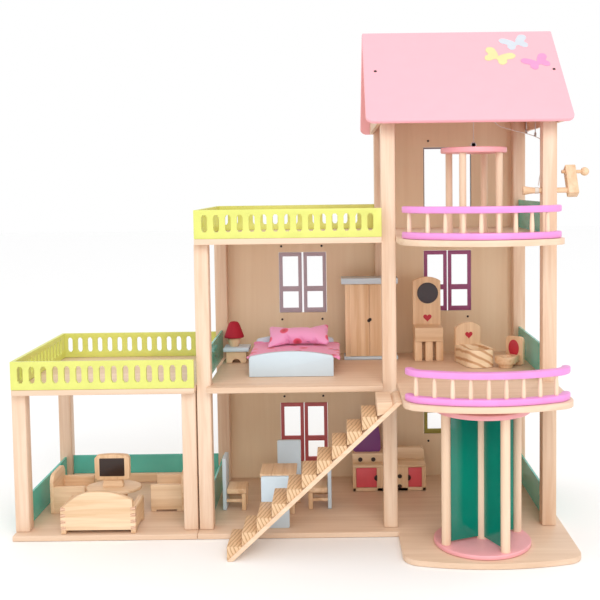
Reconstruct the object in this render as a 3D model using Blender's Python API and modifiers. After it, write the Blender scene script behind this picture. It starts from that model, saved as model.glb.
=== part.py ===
"""Wooden dollhouse: a covered terrace, a two-storey house and a three-storey tower, with its furniture.

Metres, +Z up, front towards -Y. The origin lies on the underside of the main base, midway between the
front and back posts. Pieces that touch keep a gap of 0.3 mm.
"""

from math import atan2, cos, hypot, pi, radians, sin

import bpy
from mathutils import Matrix, Vector

# ---------------------------------------------------------------- driving dimensions
GAP = 0.0003
PLATE = 0.008                      # thickness of bases, floors and decks
STOREY = 0.201                     # clear height of one storey
POST = 0.020                       # square posts
DEPTH = 0.240                      # outer face of front post to outer face of back post
BASE_TOP = PLATE
FIRST_UNDER = BASE_TOP + STOREY
FIRST_TOP = FIRST_UNDER + PLATE
SECOND_UNDER = FIRST_TOP + STOREY
SECOND_TOP = SECOND_UNDER + PLATE

# post centres along X: left terrace, its inner front post, house, tower left, tower right
X_TERRACE = -0.510
X_INNER = -0.2687
X_HOUSE = -0.2465
X_TOWER_LEFT = 0.0175
X_TOWER_RIGHT = 0.244
Y_FRONT = -(DEPTH - POST) / 2
Y_BACK = -Y_FRONT
POST_TOP = 0.603

FRONT_EDGE = -0.135                # front edge of the plates
BACK_EDGE = DEPTH / 2
DECK_LEFT = -0.5150                # the decks stop short of the posts' outer faces
HOUSE_DECK_LEFT = -0.2535
SEAM = -0.2577                     # where terrace and house meet
BALCONY_LEFT = 0.0285
BALCONY_RIGHT = 0.250
FIRST_BALCONY = (-0.272, (0.028, 0.028), 0.017)     # front edge, corner radii, sag of the bow
FIRST_SPINDLES = (0.0448, 0.2241)  # first and last spindle along X
SECOND_RIGHT = 0.2440
SECOND_BALCONY = (-0.250, (0.055, 0.030), 0.018)
SECOND_SPINDLES = (0.0411, 0.2176)
WALL_THICK = 0.0045
WALL_Y = BACK_EDGE + GAP

RIDGE_Z = 0.7270
EAVE_Z = 0.5855
EAVE_Y = 0.150
ROOF_THICK = 0.006
ROOF_LEFT = -0.0135
ROOF_RIGHT = 0.2725

FENCE_HIGH = 0.040
FENCE_THICK = 0.005
SLOT_WIDE = 0.0082
SLOT_HIGH = 0.025
SLOT_PITCH = 0.01646

DOOR_X, DOOR_Y = 0.139, -0.177     # axis of the revolving door
DOOR_POST_RADIUS = 0.0565
DOOR_TURN = radians(23.5)
LIFT_X, LIFT_Y = 0.1440, -0.0745   # axis of the lift
LIFT_RADIUS = 0.0470
LIFT_TURN = radians(-31.5)
CRANK_Y, CRANK_Z = -0.110, 0.4875

WINDOW_WIDE = 0.079
WINDOW_HIGH = 0.101

PINE = (0.83, 0.62, 0.40)
SHADE = (0.72, 0.50, 0.30)

parts = None
tools = None


# ---------------------------------------------------------------- scene and materials
def clear_scene():
    for obj in list(bpy.data.objects):
        bpy.data.objects.remove(obj, do_unlink=True)


def new_collection(name):
    found = bpy.data.collections.new(name)
    bpy.context.scene.collection.children.link(found)
    return found


def material(name, colour, roughness=0.6, metallic=0.0, alpha=1.0):
    made = bpy.data.materials.get(name)
    if made:
        return made
    made = bpy.data.materials.new(name)
    made.use_nodes = True
    shader = made.node_tree.nodes["Principled BSDF"]
    shader.inputs["Base Color"].default_value = (*colour, 1.0)
    shader.inputs["Roughness"].default_value = roughness
    shader.inputs["Metallic"].default_value = metallic
    shader.inputs["Alpha"].default_value = alpha
    made.diffuse_color = (*colour, alpha)
    return made


def pine():
    return material("pine", PINE)


def dark_pine():
    return material("shaded pine", SHADE)


def lime_paint():
    return material("lime paint", (0.85, 0.83, 0.35), 0.5)


def pink_paint():
    return material("pink paint", (1.0, 0.56, 0.60), 0.5)


def lilac_paint():
    return material("lilac paint", (0.93, 0.45, 0.84), 0.45)


def teal_acrylic():
    return material("teal acrylic", (0.05, 0.42, 0.33), 0.1, 0.0, 0.6)


def ice_paint():
    return material("ice blue paint", (0.72, 0.82, 0.88), 0.5)


# ---------------------------------------------------------------- building blocks
def place(name, mesh, paint, location=(0, 0, 0), collection=None):
    obj = bpy.data.objects.new(name, mesh)
    obj.location = location
    (collection or parts).objects.link(obj)
    if paint:
        obj.data.materials.clear()
        obj.data.materials.append(paint)
    return obj


def make_tool(obj):
    """A cutter or a joined piece: it shapes another object and isn't a part itself."""
    obj.hide_render = True
    obj.display_type = "WIRE"
    for user in list(obj.users_collection):
        user.objects.unlink(obj)
    tools.objects.link(obj)
    return obj


def box(name, low, high, paint=None, turn=0.0):
    """A box between two corners, placed by its centre and turned about the vertical through it."""
    centre = [(a + b) / 2 for a, b in zip(low, high)]
    half = [(b - a) / 2 for a, b in zip(low, high)]
    bpy.ops.mesh.primitive_cube_add(size=2)
    obj = bpy.context.active_object
    obj.data.transform(Matrix.Diagonal((*half, 1.0)))
    mesh = obj.data
    bpy.data.objects.remove(obj)
    mesh.name = name
    made = place(name, mesh, paint, centre)
    made.rotation_euler.z = turn
    return made


def rod(name, radius, start, end, paint=None, sides=16, end_radius=None):
    """A cylinder or cone between two points."""
    start, end = Vector(start), Vector(end)
    along = end - start
    top = radius if end_radius is None else end_radius
    bpy.ops.mesh.primitive_cone_add(vertices=sides, radius1=radius, radius2=top, depth=along.length)
    obj = bpy.context.active_object
    mesh = obj.data
    bpy.data.objects.remove(obj)
    mesh.name = name
    made = place(name, mesh, paint, (start + end) / 2)
    made.rotation_mode = "QUATERNION"
    made.rotation_quaternion = along.to_track_quat("Z", "Y")
    return made


def plate(name, loops, thickness, paint=None, location=(0, 0, 0), stand=False, turn=0.0):
    """A flat outline (the first loop) with holes (the others), extruded to its thickness.

    It lies in XY with its underside at the location; stand=True raises it into XZ, with its front
    face at the location.
    """
    curve = bpy.data.curves.new(name, "CURVE")
    curve.dimensions = "2D"
    curve.fill_mode = "BOTH"
    curve.extrude = thickness / 2
    for loop in loops:
        spline = curve.splines.new("POLY")
        spline.points.add(len(loop) - 1)
        for point, (x, y) in zip(spline.points, loop):
            point.co = (x, y, 0.0, 1.0)
        spline.use_cyclic_u = True
    flat = bpy.data.objects.new(name + "_outline", curve)
    parts.objects.link(flat)
    bpy.context.view_layer.update()
    graph = bpy.context.evaluated_depsgraph_get()
    mesh = bpy.data.meshes.new_from_object(flat.evaluated_get(graph))
    bpy.data.objects.remove(flat)
    weld(mesh)
    mesh.transform(Matrix.Translation((0, 0, thickness / 2)))
    if stand:
        mesh.transform(Matrix.Rotation(radians(90), 4, "X"))
        mesh.transform(Matrix.Translation((0, thickness, 0)))
    mesh.name = name
    made = place(name, mesh, paint, location)
    made.rotation_euler.z = turn
    return made


def weld(mesh):
    import bmesh
    shape = bmesh.new()
    shape.from_mesh(mesh)
    bmesh.ops.remove_doubles(shape, verts=shape.verts, dist=0.00001)
    bmesh.ops.recalc_face_normals(shape, faces=shape.faces)
    shape.to_mesh(mesh)
    shape.free()


def boolean(obj, other, operation):
    step = obj.modifiers.new(operation.lower() + "_" + other.name, "BOOLEAN")
    step.operation = operation
    step.solver = "EXACT"
    step.object = make_tool(other)
    return obj


def cut(obj, *others):
    for other in others:
        boolean(obj, other, "DIFFERENCE")
    return obj


def join(obj, *others):
    for other in others:
        boolean(obj, other, "UNION")
    return obj


def one_mesh(name, pieces):
    """Several separate pieces in one mesh, so that one Boolean joins or cuts them all."""
    import bmesh
    shape = bmesh.new()
    bpy.context.view_layer.update()
    for piece in pieces:
        piece.data.transform(piece.matrix_world)
        shape.from_mesh(piece.data)
        bpy.data.objects.remove(piece)
    mesh = bpy.data.meshes.new(name)
    shape.to_mesh(mesh)
    shape.free()
    return place(name, mesh, None)


# ---------------------------------------------------------------- outlines
def rectangle(x0, y0, x1, y1):
    return [(x0, y0), (x1, y0), (x1, y1), (x0, y1)]


def arc(x, y, radius, start, end, steps=6):
    turns = [radians(start + (end - start) * k / steps) for k in range(steps + 1)]
    return [(x + radius * cos(t), y + radius * sin(t)) for t in turns]


def rounded_rectangle(x0, y0, x1, y1, radius, steps=4):
    loop = arc(x0 + radius, y0 + radius, radius, 180, 270, steps)
    loop += arc(x1 - radius, y0 + radius, radius, 270, 360, steps)
    loop += arc(x1 - radius, y1 - radius, radius, 0, 90, steps)
    loop += arc(x0 + radius, y1 - radius, radius, 90, 180, steps)
    return loop


def bowed(start, end, sag, steps=10):
    """Points of a circular arc from start to end, bulging to the right of the way by sag."""
    (x0, y0), (x1, y1) = start, end
    chord = hypot(x1 - x0, y1 - y0)
    radius = chord * chord / (8 * sag) + sag / 2
    half = atan2(chord / 2, radius - sag)
    along = ((x1 - x0) / chord, (y1 - y0) / chord)
    across = (along[1], -along[0])
    middle = ((x0 + x1) / 2, (y0 + y1) / 2)
    loop = []
    for k in range(steps + 1):
        t = -half + 2 * half * k / steps
        u, v = radius * sin(t), sag - radius * (1 - cos(t))
        loop.append((middle[0] + along[0] * u + across[0] * v, middle[1] + along[1] * u + across[1] * v))
    return loop


def bulged_front(left, right, front, corners, sag):
    """The front of a balcony from its left side to its right side: two round corners and a bow."""
    level = front + sag
    swing = 75
    near, far = corners
    points = arc(left + near, level + near, near, 180, 180 + swing)
    last = arc(right - far, level + far, far, 360 - swing, 360)
    points += bowed(points[-1], last[0], sag)[1:-1]
    return points + last


def band(path, half):
    """A strip of constant width along a path, with round ends."""
    left, right = [], []
    for k, (x, y) in enumerate(path):
        (xa, ya), (xb, yb) = path[max(k - 1, 0)], path[min(k + 1, len(path) - 1)]
        long = hypot(xb - xa, yb - ya)
        nx, ny = -(yb - ya) / long, (xb - xa) / long
        left.append((x + nx * half, y + ny * half))
        right.append((x - nx * half, y - ny * half))
    (x0, y0), (x1, y1) = path[0], path[-1]
    back = atan2(path[0][1] - path[1][1], path[0][0] - path[1][0]) * 180 / pi
    ahead = atan2(path[-1][1] - path[-2][1], path[-1][0] - path[-2][0]) * 180 / pi
    loop = right + arc(x1, y1, half, ahead - 90, ahead + 90)[1:-1]
    return loop + left[::-1] + arc(x0, y0, half, back - 90, back + 90)[1:-1]


def disc(x, y, radius, steps=40):
    return arc(x, y, radius, 0, 360, steps)[:-1]


# ---------------------------------------------------------------- plates
def notch(x, y, low, high):
    """The space of one post through a plate."""
    half = POST / 2 + GAP
    return box("notch", (x - half, y - half, low), (x + half, y + half, high))


def open_notch(low, high):
    """The tower's left front post stands in a notch that is open to the front."""
    half = POST / 2 + GAP
    return box("open_notch", (X_TOWER_LEFT - half, FRONT_EDGE - 0.01, low),
               (X_TOWER_LEFT + half, Y_FRONT + half, high))


def build_bases():
    box("base_left", (X_TERRACE - POST / 2, FRONT_EDGE, 0), (SEAM - GAP, BACK_EDGE, PLATE), pine())
    left, right = X_TOWER_LEFT + POST / 2, 0.2645
    loop = [(right, BACK_EDGE), (SEAM, BACK_EDGE), (SEAM, FRONT_EDGE), (left, FRONT_EDGE)]
    loop += bulged_front(left, right, -0.253, (0.026, 0.026), 0.014)
    plate("base_main", [loop], PLATE, pine())


def floor_notches(under):
    """The spaces of the four tower posts through a floor."""
    low, high = under - 0.004, under + PLATE + 0.004
    spots = [(X_TOWER_LEFT, Y_BACK), (X_TOWER_RIGHT, Y_BACK), (X_TOWER_RIGHT, Y_FRONT)]
    return [notch(x, y, low, high) for x, y in spots] + [open_notch(low, high)]


def build_first_floor():
    left = -0.2406
    loop = [(BALCONY_RIGHT, BACK_EDGE), (left, BACK_EDGE), (left, FRONT_EDGE)]
    loop += [(BALCONY_LEFT, FRONT_EDGE)] + bulged_front(BALCONY_LEFT, BALCONY_RIGHT, *FIRST_BALCONY)
    floor = plate("floor_first", [loop], PLATE, pine(), (0, 0, FIRST_UNDER))
    cutters = floor_notches(FIRST_UNDER)
    cutters += [notch(X_HOUSE, y, FIRST_UNDER - 0.004, FIRST_TOP + 0.004) for y in (Y_FRONT, Y_BACK)]
    cut(floor, one_mesh("floor_first_notches", cutters))


def build_second_floor():
    left = HOUSE_DECK_LEFT
    loop = [(SECOND_RIGHT, BACK_EDGE), (left, BACK_EDGE), (left, FRONT_EDGE)]
    loop += [(BALCONY_LEFT, FRONT_EDGE)] + bulged_front(BALCONY_LEFT, SECOND_RIGHT, *SECOND_BALCONY)
    hole = disc(LIFT_X, LIFT_Y, LIFT_RADIUS + 0.0010)
    floor = plate("floor_second", [loop, hole], PLATE, pine(), (0, 0, SECOND_UNDER))
    cut(floor, one_mesh("floor_second_notches", floor_notches(SECOND_UNDER)))


def build_terrace_deck():
    box("deck_left", (DECK_LEFT, FRONT_EDGE, FIRST_UNDER), (SEAM, BACK_EDGE, FIRST_TOP), pine())


# ---------------------------------------------------------------- posts and walls
def build_posts():
    spots = [
        ("post_terrace_front", X_TERRACE, Y_FRONT, FIRST_UNDER - GAP),
        ("post_terrace_back", X_TERRACE, Y_BACK, FIRST_UNDER - GAP),
        ("post_terrace_inner", X_INNER, Y_FRONT, FIRST_UNDER - GAP),
        ("post_house_front", X_HOUSE, Y_FRONT, SECOND_UNDER - GAP),
        ("post_house_back", X_HOUSE, Y_BACK, SECOND_UNDER - GAP),
        ("post_tower_front_left", X_TOWER_LEFT, Y_FRONT, POST_TOP),
        ("post_tower_back_left", X_TOWER_LEFT, Y_BACK, POST_TOP),
        ("post_tower_front_right", X_TOWER_RIGHT, Y_FRONT, POST_TOP),
        ("post_tower_back_right", X_TOWER_RIGHT, Y_BACK, POST_TOP),
    ]
    half = POST / 2
    for name, x, y, top in spots:
        box(name, (x - half, y - half, BASE_TOP + GAP), (x + half, y + half, top), pine())
    bearing = rod("crank_bearing", 0.0043, (X_TOWER_RIGHT - 0.02, CRANK_Y, CRANK_Z),
                  (X_TOWER_RIGHT + 0.02, CRANK_Y, CRANK_Z))
    cut(bpy.data.objects["post_tower_front_right"], bearing)


def window_hole(x, bottom):
    return rectangle(x - WINDOW_WIDE / 2, bottom, x + WINDOW_WIDE / 2, bottom + WINDOW_HIGH)


WINDOWS = {
    "bedroom": (-0.1125, 0.2870, 0.0030),
    "dining": (-0.1135, 0.0340, 0.0012),
    "bathroom": (0.1285, 0.2870, 0.0020),
    "kitchen": (0.1270, 0.0790, 0.0),
    "attic": (0.1290, 0.4575, 0.0),
}


def build_wall():
    left, right = X_HOUSE - POST / 2, X_TOWER_RIGHT + POST / 2
    tower = X_TOWER_LEFT - POST / 2
    loop = [(left, 0), (right, 0), (right, 0.5990), (tower, 0.5990), (tower, SECOND_TOP), (left, SECOND_TOP)]
    holes = [window_hole(x, bottom) for x, bottom, _ in WINDOWS.values()]
    plate("back_wall", [loop] + holes, WALL_THICK, pine(), (0, WALL_Y, 0), stand=True)


def shutter_outline(width, height):
    """One window leaf with an upper and a lower pane."""
    stile, rail, lower, top_rail = 0.0058, 0.0075, 0.0275, 0.0065
    upper = (stile, rail + lower + 0.0085, width - stile, height - top_rail)
    return [rectangle(0, 0, width, height), rectangle(stile, rail, width - stile, rail + lower),
            rectangle(*upper)]


def build_shutters():
    paints = {
        "bedroom": material("mauve grey paint", (0.56, 0.48, 0.56), 0.5),
        "dining": material("rose red paint", (0.60, 0.12, 0.16), 0.5),
        "bathroom": material("plum paint", (0.35, 0.10, 0.26), 0.5),
    }
    thick = 0.004
    back = WALL_Y + WALL_THICK - 0.0001
    height = WINDOW_HIGH - 2 * 0.0005
    for room, paint in paints.items():
        x, bottom, middle_gap = WINDOWS[room]
        width = (WINDOW_WIDE - 2 * 0.0005 - middle_gap) / 2
        for side, edge in (("left", x - WINDOW_WIDE / 2 + 0.0005), ("right", x + WINDOW_WIDE / 2 - 0.0005)):
            leaf = plate("shutter_" + room + "_" + side, shutter_outline(width, height), thick, paint,
                         stand=True)
            shift = -width if side == "right" else 0.0
            leaf.data.transform(Matrix.Translation((shift, -thick, 0)))
            leaf.location = (edge, back, bottom + 0.0005)
    x, bottom, _ = WINDOWS["kitchen"]
    half = WINDOW_WIDE / 2 - 0.0005
    loops = [rectangle(-half, 0, half, height)]
    for start in (-half, 0.0):
        panes = shutter_outline(half, height)[1:]
        loops += [[(a + start, b) for a, b in pane] for pane in panes]
    plate("window_kitchen", loops, thick, material("olive paint", (0.25, 0.22, 0.03), 0.5),
          (x, WALL_Y + GAP, bottom + 0.0005), stand=True)


# ---------------------------------------------------------------- roof
def build_roof():
    slope = atan2(RIDGE_Z - EAVE_Z, EAVE_Y)
    length = hypot(RIDGE_Z - EAVE_Z, EAVE_Y)
    wide = ROOF_RIGHT - ROOF_LEFT
    corner = 0.011
    loop = arc(corner, corner, corner, 180, 270) + arc(wide - corner, corner, corner, 270, 360)
    loop += [(wide, length), (0, length)]
    for name, side in (("roof_front", 1), ("roof_back", -1)):
        panel = plate(name, [loop], ROOF_THICK, pink_paint())
        # the local outline runs up from the eave (y = 0) to the ridge, with its outer face on top
        panel.data.transform(Matrix.Translation((ROOF_LEFT, -length, -ROOF_THICK)))
        panel.data.transform(Matrix.Rotation(slope, 4, "X"))
        if side < 0:
            panel.data.transform(Matrix.Scale(-1, 4, (0, 1, 0)))
            panel.data.flip_normals()
        panel.location.z = RIDGE_Z
        low, high = sorted((-side * GAP / 2, side * 0.05))
        mitre = box("mitre", (ROOF_LEFT - 0.01, low, 0.69), (ROOF_RIGHT + 0.01, high, 0.75))
        cut(panel, mitre)


def build_gables():
    drop = ROOF_THICK / cos(atan2(RIDGE_Z - EAVE_Z, EAVE_Y))
    top = RIDGE_Z - drop - 0.0005
    low = 0.582
    steep = (RIDGE_Z - EAVE_Z) / EAVE_Y
    foot = (top - low) / steep - 0.0005
    loop = [(-foot, low), (foot, low), (0, top)]
    thick = 0.005
    for name, x in (("gable_left", X_TOWER_LEFT - POST / 2 - GAP - thick),
                    ("gable_right", X_TOWER_RIGHT + POST / 2 + GAP)):
        board = plate(name, [loop], thick, pine(), stand=True)
        board.data.transform(Matrix.Rotation(radians(90), 4, "Z"))
        board.location.x = x + thick


# ---------------------------------------------------------------- fences, guards and railings
def slots(count, first):
    """Outlines of upright slots with round ends, in a row along X."""
    loops = []
    radius = SLOT_WIDE / 2
    low = 0.0085
    for k in range(count):
        x = first + k * SLOT_PITCH
        loops.append(arc(x, low + radius, radius, 180, 360, 3)
                     + arc(x, low + SLOT_HIGH - radius, radius, 0, 180, 3))
    return loops


def build_fence(name, left, right, floor, count, first):
    """A fence along the front, the left side and the back, open to the right."""
    base = floor + GAP
    t = FENCE_THICK
    loop = [(left, FRONT_EDGE), (right, FRONT_EDGE), (right, FRONT_EDGE + t), (left + t, FRONT_EDGE + t),
            (left + t, BACK_EDGE - t), (right, BACK_EDGE - t), (right, BACK_EDGE), (left, BACK_EDGE)]
    fence = plate(name, [loop], FENCE_HIGH, lime_paint(), (0, 0, base))
    through = plate(name + "_slots", slots(count, left + first), BACK_EDGE - FRONT_EDGE + 0.02, None,
                    (0, FRONT_EDGE - 0.01, base), stand=True)
    middle = (FRONT_EDGE + BACK_EDGE) / 2
    side = plate(name + "_side_slots", slots(13, middle - 6 * SLOT_PITCH), 3 * t, None, stand=True)
    side.data.transform(Matrix.Rotation(radians(90), 4, "Z"))
    side.location = (left + 2 * t, 0, base)
    cut(fence, through, side)


def build_fences():
    build_fence("fence_terrace", DECK_LEFT, SEAM - GAP, FIRST_TOP, 15, 0.0135)
    build_fence("fence_house", HOUSE_DECK_LEFT, X_TOWER_LEFT - POST / 2 - GAP, SECOND_TOP, 15, 0.0148)


def build_guards():
    high, thick = 0.0448, 0.003
    clear = POST / 2 + GAP
    sides = [
        ("guard_terrace_side", X_TERRACE, BASE_TOP),
        ("guard_dining_side", X_HOUSE, BASE_TOP),
        ("guard_bedroom_side", X_HOUSE, FIRST_TOP),
        ("guard_kitchen_side", X_TOWER_RIGHT, BASE_TOP),
        ("guard_bathroom_side", X_TOWER_RIGHT, FIRST_TOP),
        ("guard_lift_side", X_TOWER_RIGHT, SECOND_TOP),
    ]
    for name, x, floor in sides:
        box(name, (x - thick / 2, Y_FRONT + clear, floor + GAP), (x + thick / 2, Y_BACK - clear, floor + high),
            teal_acrylic())
    box("guard_terrace_back", (X_TERRACE + clear, Y_BACK - thick / 2, BASE_TOP + GAP),
        (X_HOUSE - clear, Y_BACK + thick / 2, BASE_TOP + high), teal_acrylic())


def build_railing(name, floor, right, front, corners, sag, across):
    """A lower and an upper ring that follow the balcony's front, with nine spindles between them."""
    inset, half, thick, high = 0.0080, 0.0058, 0.0088, 0.0430
    path = bulged_front(BALCONY_LEFT + inset, right - inset, front + inset, corners, sag)[1:-1]
    loop = band(path, half)
    lower = plate(name, [loop], thick, lilac_paint(), (0, 0, floor + GAP))
    upper = plate(name + "_upper", [loop], thick, None, (0, 0, floor + GAP + high - thick))
    spindles = []
    for k in range(9):
        x, y = point_at(path, across[0] + (across[1] - across[0]) * k / 8)
        spindles.append(rod(name + "_spindle", 0.0027, (x, y, floor + GAP + thick - 0.001),
                            (x, y, floor + GAP + high - thick + 0.001), sides=8))
    join(lower, one_mesh(name + "_spindles", spindles), upper)


def point_at(path, x):
    """The point of a path that runs towards +X where it passes x."""
    for (xa, ya), (xb, yb) in zip(path, path[1:]):
        if xa <= x <= xb and xb > xa:
            return x, ya + (yb - ya) * (x - xa) / (xb - xa)


def build_stair():
    """Eleven blocks on an inclined board that stands in front of the house, cut as one outline."""
    steps, run, rise = 11, 0.02025, 0.01925
    first, lowest = -0.2070, 0.0193
    right, foot = 0.0280, -0.1988
    top = lowest + (steps - 1) * rise
    loop = [(foot, 0.0), (right, top - 0.0012), (right, top)]
    for k in reversed(range(steps)):
        left, tread = first + k * run, lowest + k * rise
        loop.append((left, tread))
        loop.append((left, tread - rise))
    loop[-1] = (first, 0.0)
    plate("stair", [loop], 0.070, pine(), (0, -0.215, 0), stand=True)


# ---------------------------------------------------------------- revolving door
def build_door():
    low, under, top = BASE_TOP + 0.0005, 0.1925, 0.1995
    disc_thick = 0.006
    turntable = plate("door_turntable", [disc(DOOR_X, DOOR_Y, 0.066, 48)], disc_thick, pink_paint(),
                      (0, 0, low))
    bars = [rod("door_column", 0.0075, (DOOR_X, DOOR_Y, low + disc_thick - 0.001),
                (DOOR_X, DOOR_Y, under + 0.001), sides=20)]
    for k in range(4):
        turn = DOOR_TURN + k * pi / 2
        x, y = DOOR_X + DOOR_POST_RADIUS * cos(turn), DOOR_Y + DOOR_POST_RADIUS * sin(turn)
        bars.append(rod("door_post", 0.0063, (x, y, low + disc_thick - 0.001), (x, y, under + 0.001), sides=16))
    lid = plate("door_lid", [disc(DOOR_X, DOOR_Y, 0.0660, 48)], top - under, None, (0, 0, under))
    pin = rod("door_pin", 0.003, (DOOR_X, DOOR_Y, top - 0.001), (DOOR_X, DOOR_Y, FIRST_UNDER - GAP), sides=12)
    join(turntable, one_mesh("door_bars", bars), lid, pin)
    cut(turntable, cross("door_slots", 0.0498 + 0.0002, 0.0036, 0.0177, 0.1893))
    panels = cross("door_panels", 0.0498, 0.003, 0.0180, 0.1890)
    parts.objects.link(panels)
    tools.objects.unlink(panels)
    panels.hide_render = False
    panels.display_type = "TEXTURED"
    panels.data.materials.append(teal_acrylic())


def cross(name, reach, thick, low, high):
    """Two crossed upright panels about the door's axis, as one flat outline."""
    t = thick / 2
    loop = []
    for k in range(4):
        turn = DOOR_TURN + k * pi / 2
        for u, v in ((reach, -t), (reach, t), (t, t)):
            loop.append((DOOR_X + u * cos(turn) - v * sin(turn), DOOR_Y + u * sin(turn) + v * cos(turn)))
    return make_tool(plate(name, [loop], high - low, None, (0, 0, low)))


# ---------------------------------------------------------------- lift, crank and hoisting cord
LIFT_FLOOR = SECOND_UNDER + 0.0005
LIFT_ROOF = 0.542
LIFT_EYE = 0.5575
CORD_TOP = 0.640


def build_lift():
    cage = plate("lift_cage", [disc(LIFT_X, LIFT_Y, LIFT_RADIUS)], 0.0075, pink_paint(), (0, 0, LIFT_FLOOR))
    bars = []
    for k in range(4):
        turn = LIFT_TURN + k * pi / 2
        x, y = LIFT_X + 0.039 * cos(turn), LIFT_Y + 0.039 * sin(turn)
        bars.append(rod("lift_bar", 0.005, (x, y, LIFT_FLOOR + 0.0065), (x, y, LIFT_ROOF + 0.001), sides=14))
    lid = plate("lift_lid", [disc(LIFT_X, LIFT_Y, 0.0474)], 0.008, None, (0, 0, LIFT_ROOF))
    stem = rod("lift_stem", 0.0013, (LIFT_X, LIFT_Y, LIFT_ROOF + 0.007), (LIFT_X, LIFT_Y, LIFT_EYE - 0.0060),
               sides=10)
    bpy.ops.mesh.primitive_torus_add(major_radius=0.0035, minor_radius=0.0009, major_segments=16,
                                     minor_segments=8)
    ring = bpy.context.active_object
    mesh = ring.data
    bpy.data.objects.remove(ring)
    eye = place("lift_eye", mesh, None, (LIFT_X, LIFT_Y, LIFT_EYE - 0.0035))
    eye.rotation_euler = (radians(90), 0, 0)
    join(cage, one_mesh("lift_bars", bars), lid, stem, eye)


def cord(name, points, radius):
    curve = bpy.data.curves.new(name, "CURVE")
    curve.dimensions = "3D"
    curve.bevel_depth = radius
    curve.bevel_resolution = 2
    curve.use_fill_caps = True
    spline = curve.splines.new("POLY")
    spline.points.add(len(points) - 1)
    for point, place_at in zip(spline.points, points):
        point.co = (*place_at, 1.0)
    obj = bpy.data.objects.new(name + "_path", curve)
    parts.objects.link(obj)
    bpy.context.view_layer.update()
    graph = bpy.context.evaluated_depsgraph_get()
    mesh = bpy.data.meshes.new_from_object(obj.evaluated_get(graph))
    bpy.data.objects.remove(obj)
    weld(mesh)
    mesh.name = name
    return place(name, mesh, material("hoisting cord", (0.75, 0.70, 0.60), 0.8))


def smooth_through(route, steps=5):
    """A Catmull-Rom curve through the route's points."""
    route = [Vector(p) for p in route]
    points = []
    ends = [2 * route[0] - route[1]] + route + [2 * route[-1] - route[-2]]
    for a, b, c, d in zip(ends, ends[1:], ends[2:], ends[3:]):
        for k in range(steps):
            t = k / steps
            points.append(0.5 * ((2 * b) + (c - a) * t + (2 * a - 5 * b + 4 * c - d) * t * t
                                 + (3 * b - 3 * c + d - a) * t * t * t))
    return points + [route[-1]]


CORD_ROUTE = [
    (LIFT_X, LIFT_Y, CORD_TOP + 0.0010),
    (LIFT_X + 0.0004, LIFT_Y, CORD_TOP + 0.0040),
    (LIFT_X + 0.0040, LIFT_Y - 0.0010, CORD_TOP + 0.0050),
    (LIFT_X + 0.0100, LIFT_Y - 0.0025, CORD_TOP - 0.0010),
    (0.1645, -0.0785, 0.6060),
    (0.1760, -0.0815, 0.5830),
    (0.1969, -0.0855, 0.5742),
    (0.2170, -0.0905, 0.5683),
    (0.2290, -0.0935, 0.5638),
    (0.2365, -0.0950, 0.5590),
    (0.2385, -0.0955, 0.5480),
    (0.2370, -0.0960, 0.5200),
    (0.2335, -0.0985, 0.5020),
    (0.2308, -0.1055, 0.4945),
]


def build_cord():
    radius = 0.0006
    low = LIFT_EYE + 0.0012
    cord("cord_drop", [(LIFT_X, LIFT_Y, low + (CORD_TOP - low) * k / 4) for k in range(5)], radius)
    cord("cord_run", smooth_through(CORD_ROUTE), radius)


def build_crank():
    """Spool, axle, arm, peg and knob, glued to turn as one about the X axis through the post."""
    lean = radians(30)
    axle = rod("crank", 0.0063, (0.2075, CRANK_Y, CRANK_Z), (0.2325, CRANK_Y, CRANK_Z), pine(), 18, 0.0036)
    shaft = rod("crank_axle", 0.0039, (0.2280, CRANK_Y, CRANK_Z), (0.2735, CRANK_Y, CRANK_Z), sides=16)
    arm = box("crank_arm", (0.2705, -0.007, -0.008), (0.2855, 0.007, 0.038))
    bpy.context.view_layer.update()
    arm.matrix_world = (Matrix.Translation((0, CRANK_Y, CRANK_Z)) @ Matrix.Rotation(-lean, 4, "X")
                        @ arm.matrix_world)
    y, z = CRANK_Y + 0.030 * sin(lean), CRANK_Z + 0.030 * cos(lean)
    peg = rod("crank_peg", 0.0025, (0.2660, y, z), (0.2985, y, z), sides=12)
    bpy.ops.mesh.primitive_uv_sphere_add(radius=0.0062, segments=16, ring_count=10)
    ball = bpy.context.active_object
    mesh = ball.data
    bpy.data.objects.remove(ball)
    knob = place("crank_knob", mesh, None, (0.2990, y, z))
    join(axle, shaft, arm, peg, knob)
    axle.location = (0.2200, CRANK_Y, CRANK_Z)


# ---------------------------------------------------------------- bedroom
def arched(x0, x1, low, shoulder, crown, steps=8):
    """An upright board's outline with a low arch along its top."""
    return [(x0, low), (x1, low)] + bowed((x1, shoulder), (x0, shoulder), crown - shoulder, steps)


def build_bed():
    floor = FIRST_TOP + GAP
    left, right = -0.187, -0.062
    bed = plate("bed", [arched(left, right, 0, 0.0315, 0.0375)], 0.008, ice_paint(), (0, -0.066, floor),
                stand=True)
    head = plate("bed_head", [arched(left, right, 0, 0.0355, 0.0415)], 0.008, None, (0, 0.066, floor),
                 stand=True)
    slab = box("bed_base", (left + 0.003, -0.0585, floor + 0.008), (right - 0.003, 0.0665, floor + 0.0165))
    join(bed, slab, head)
    box("bedding", (left - 0.002, -0.0577, floor + 0.0168), (right + 0.0090, 0.0657, floor + 0.0300),
        material("pink bedding", (0.85, 0.25, 0.50), 0.9))
    pillow = box("pillow", (-0.0490, -0.0185, -0.0060), (0.0490, 0.0185, 0.0060),
                 material("pink pillow", (0.88, 0.30, 0.55), 0.9))
    rounding = pillow.modifiers.new("rounding", "BEVEL")
    rounding.width = 0.005
    rounding.segments = 3
    pillow.rotation_euler.x = radians(35)
    pillow.location = (-0.1145, 0.043, floor + 0.0462)


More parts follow.
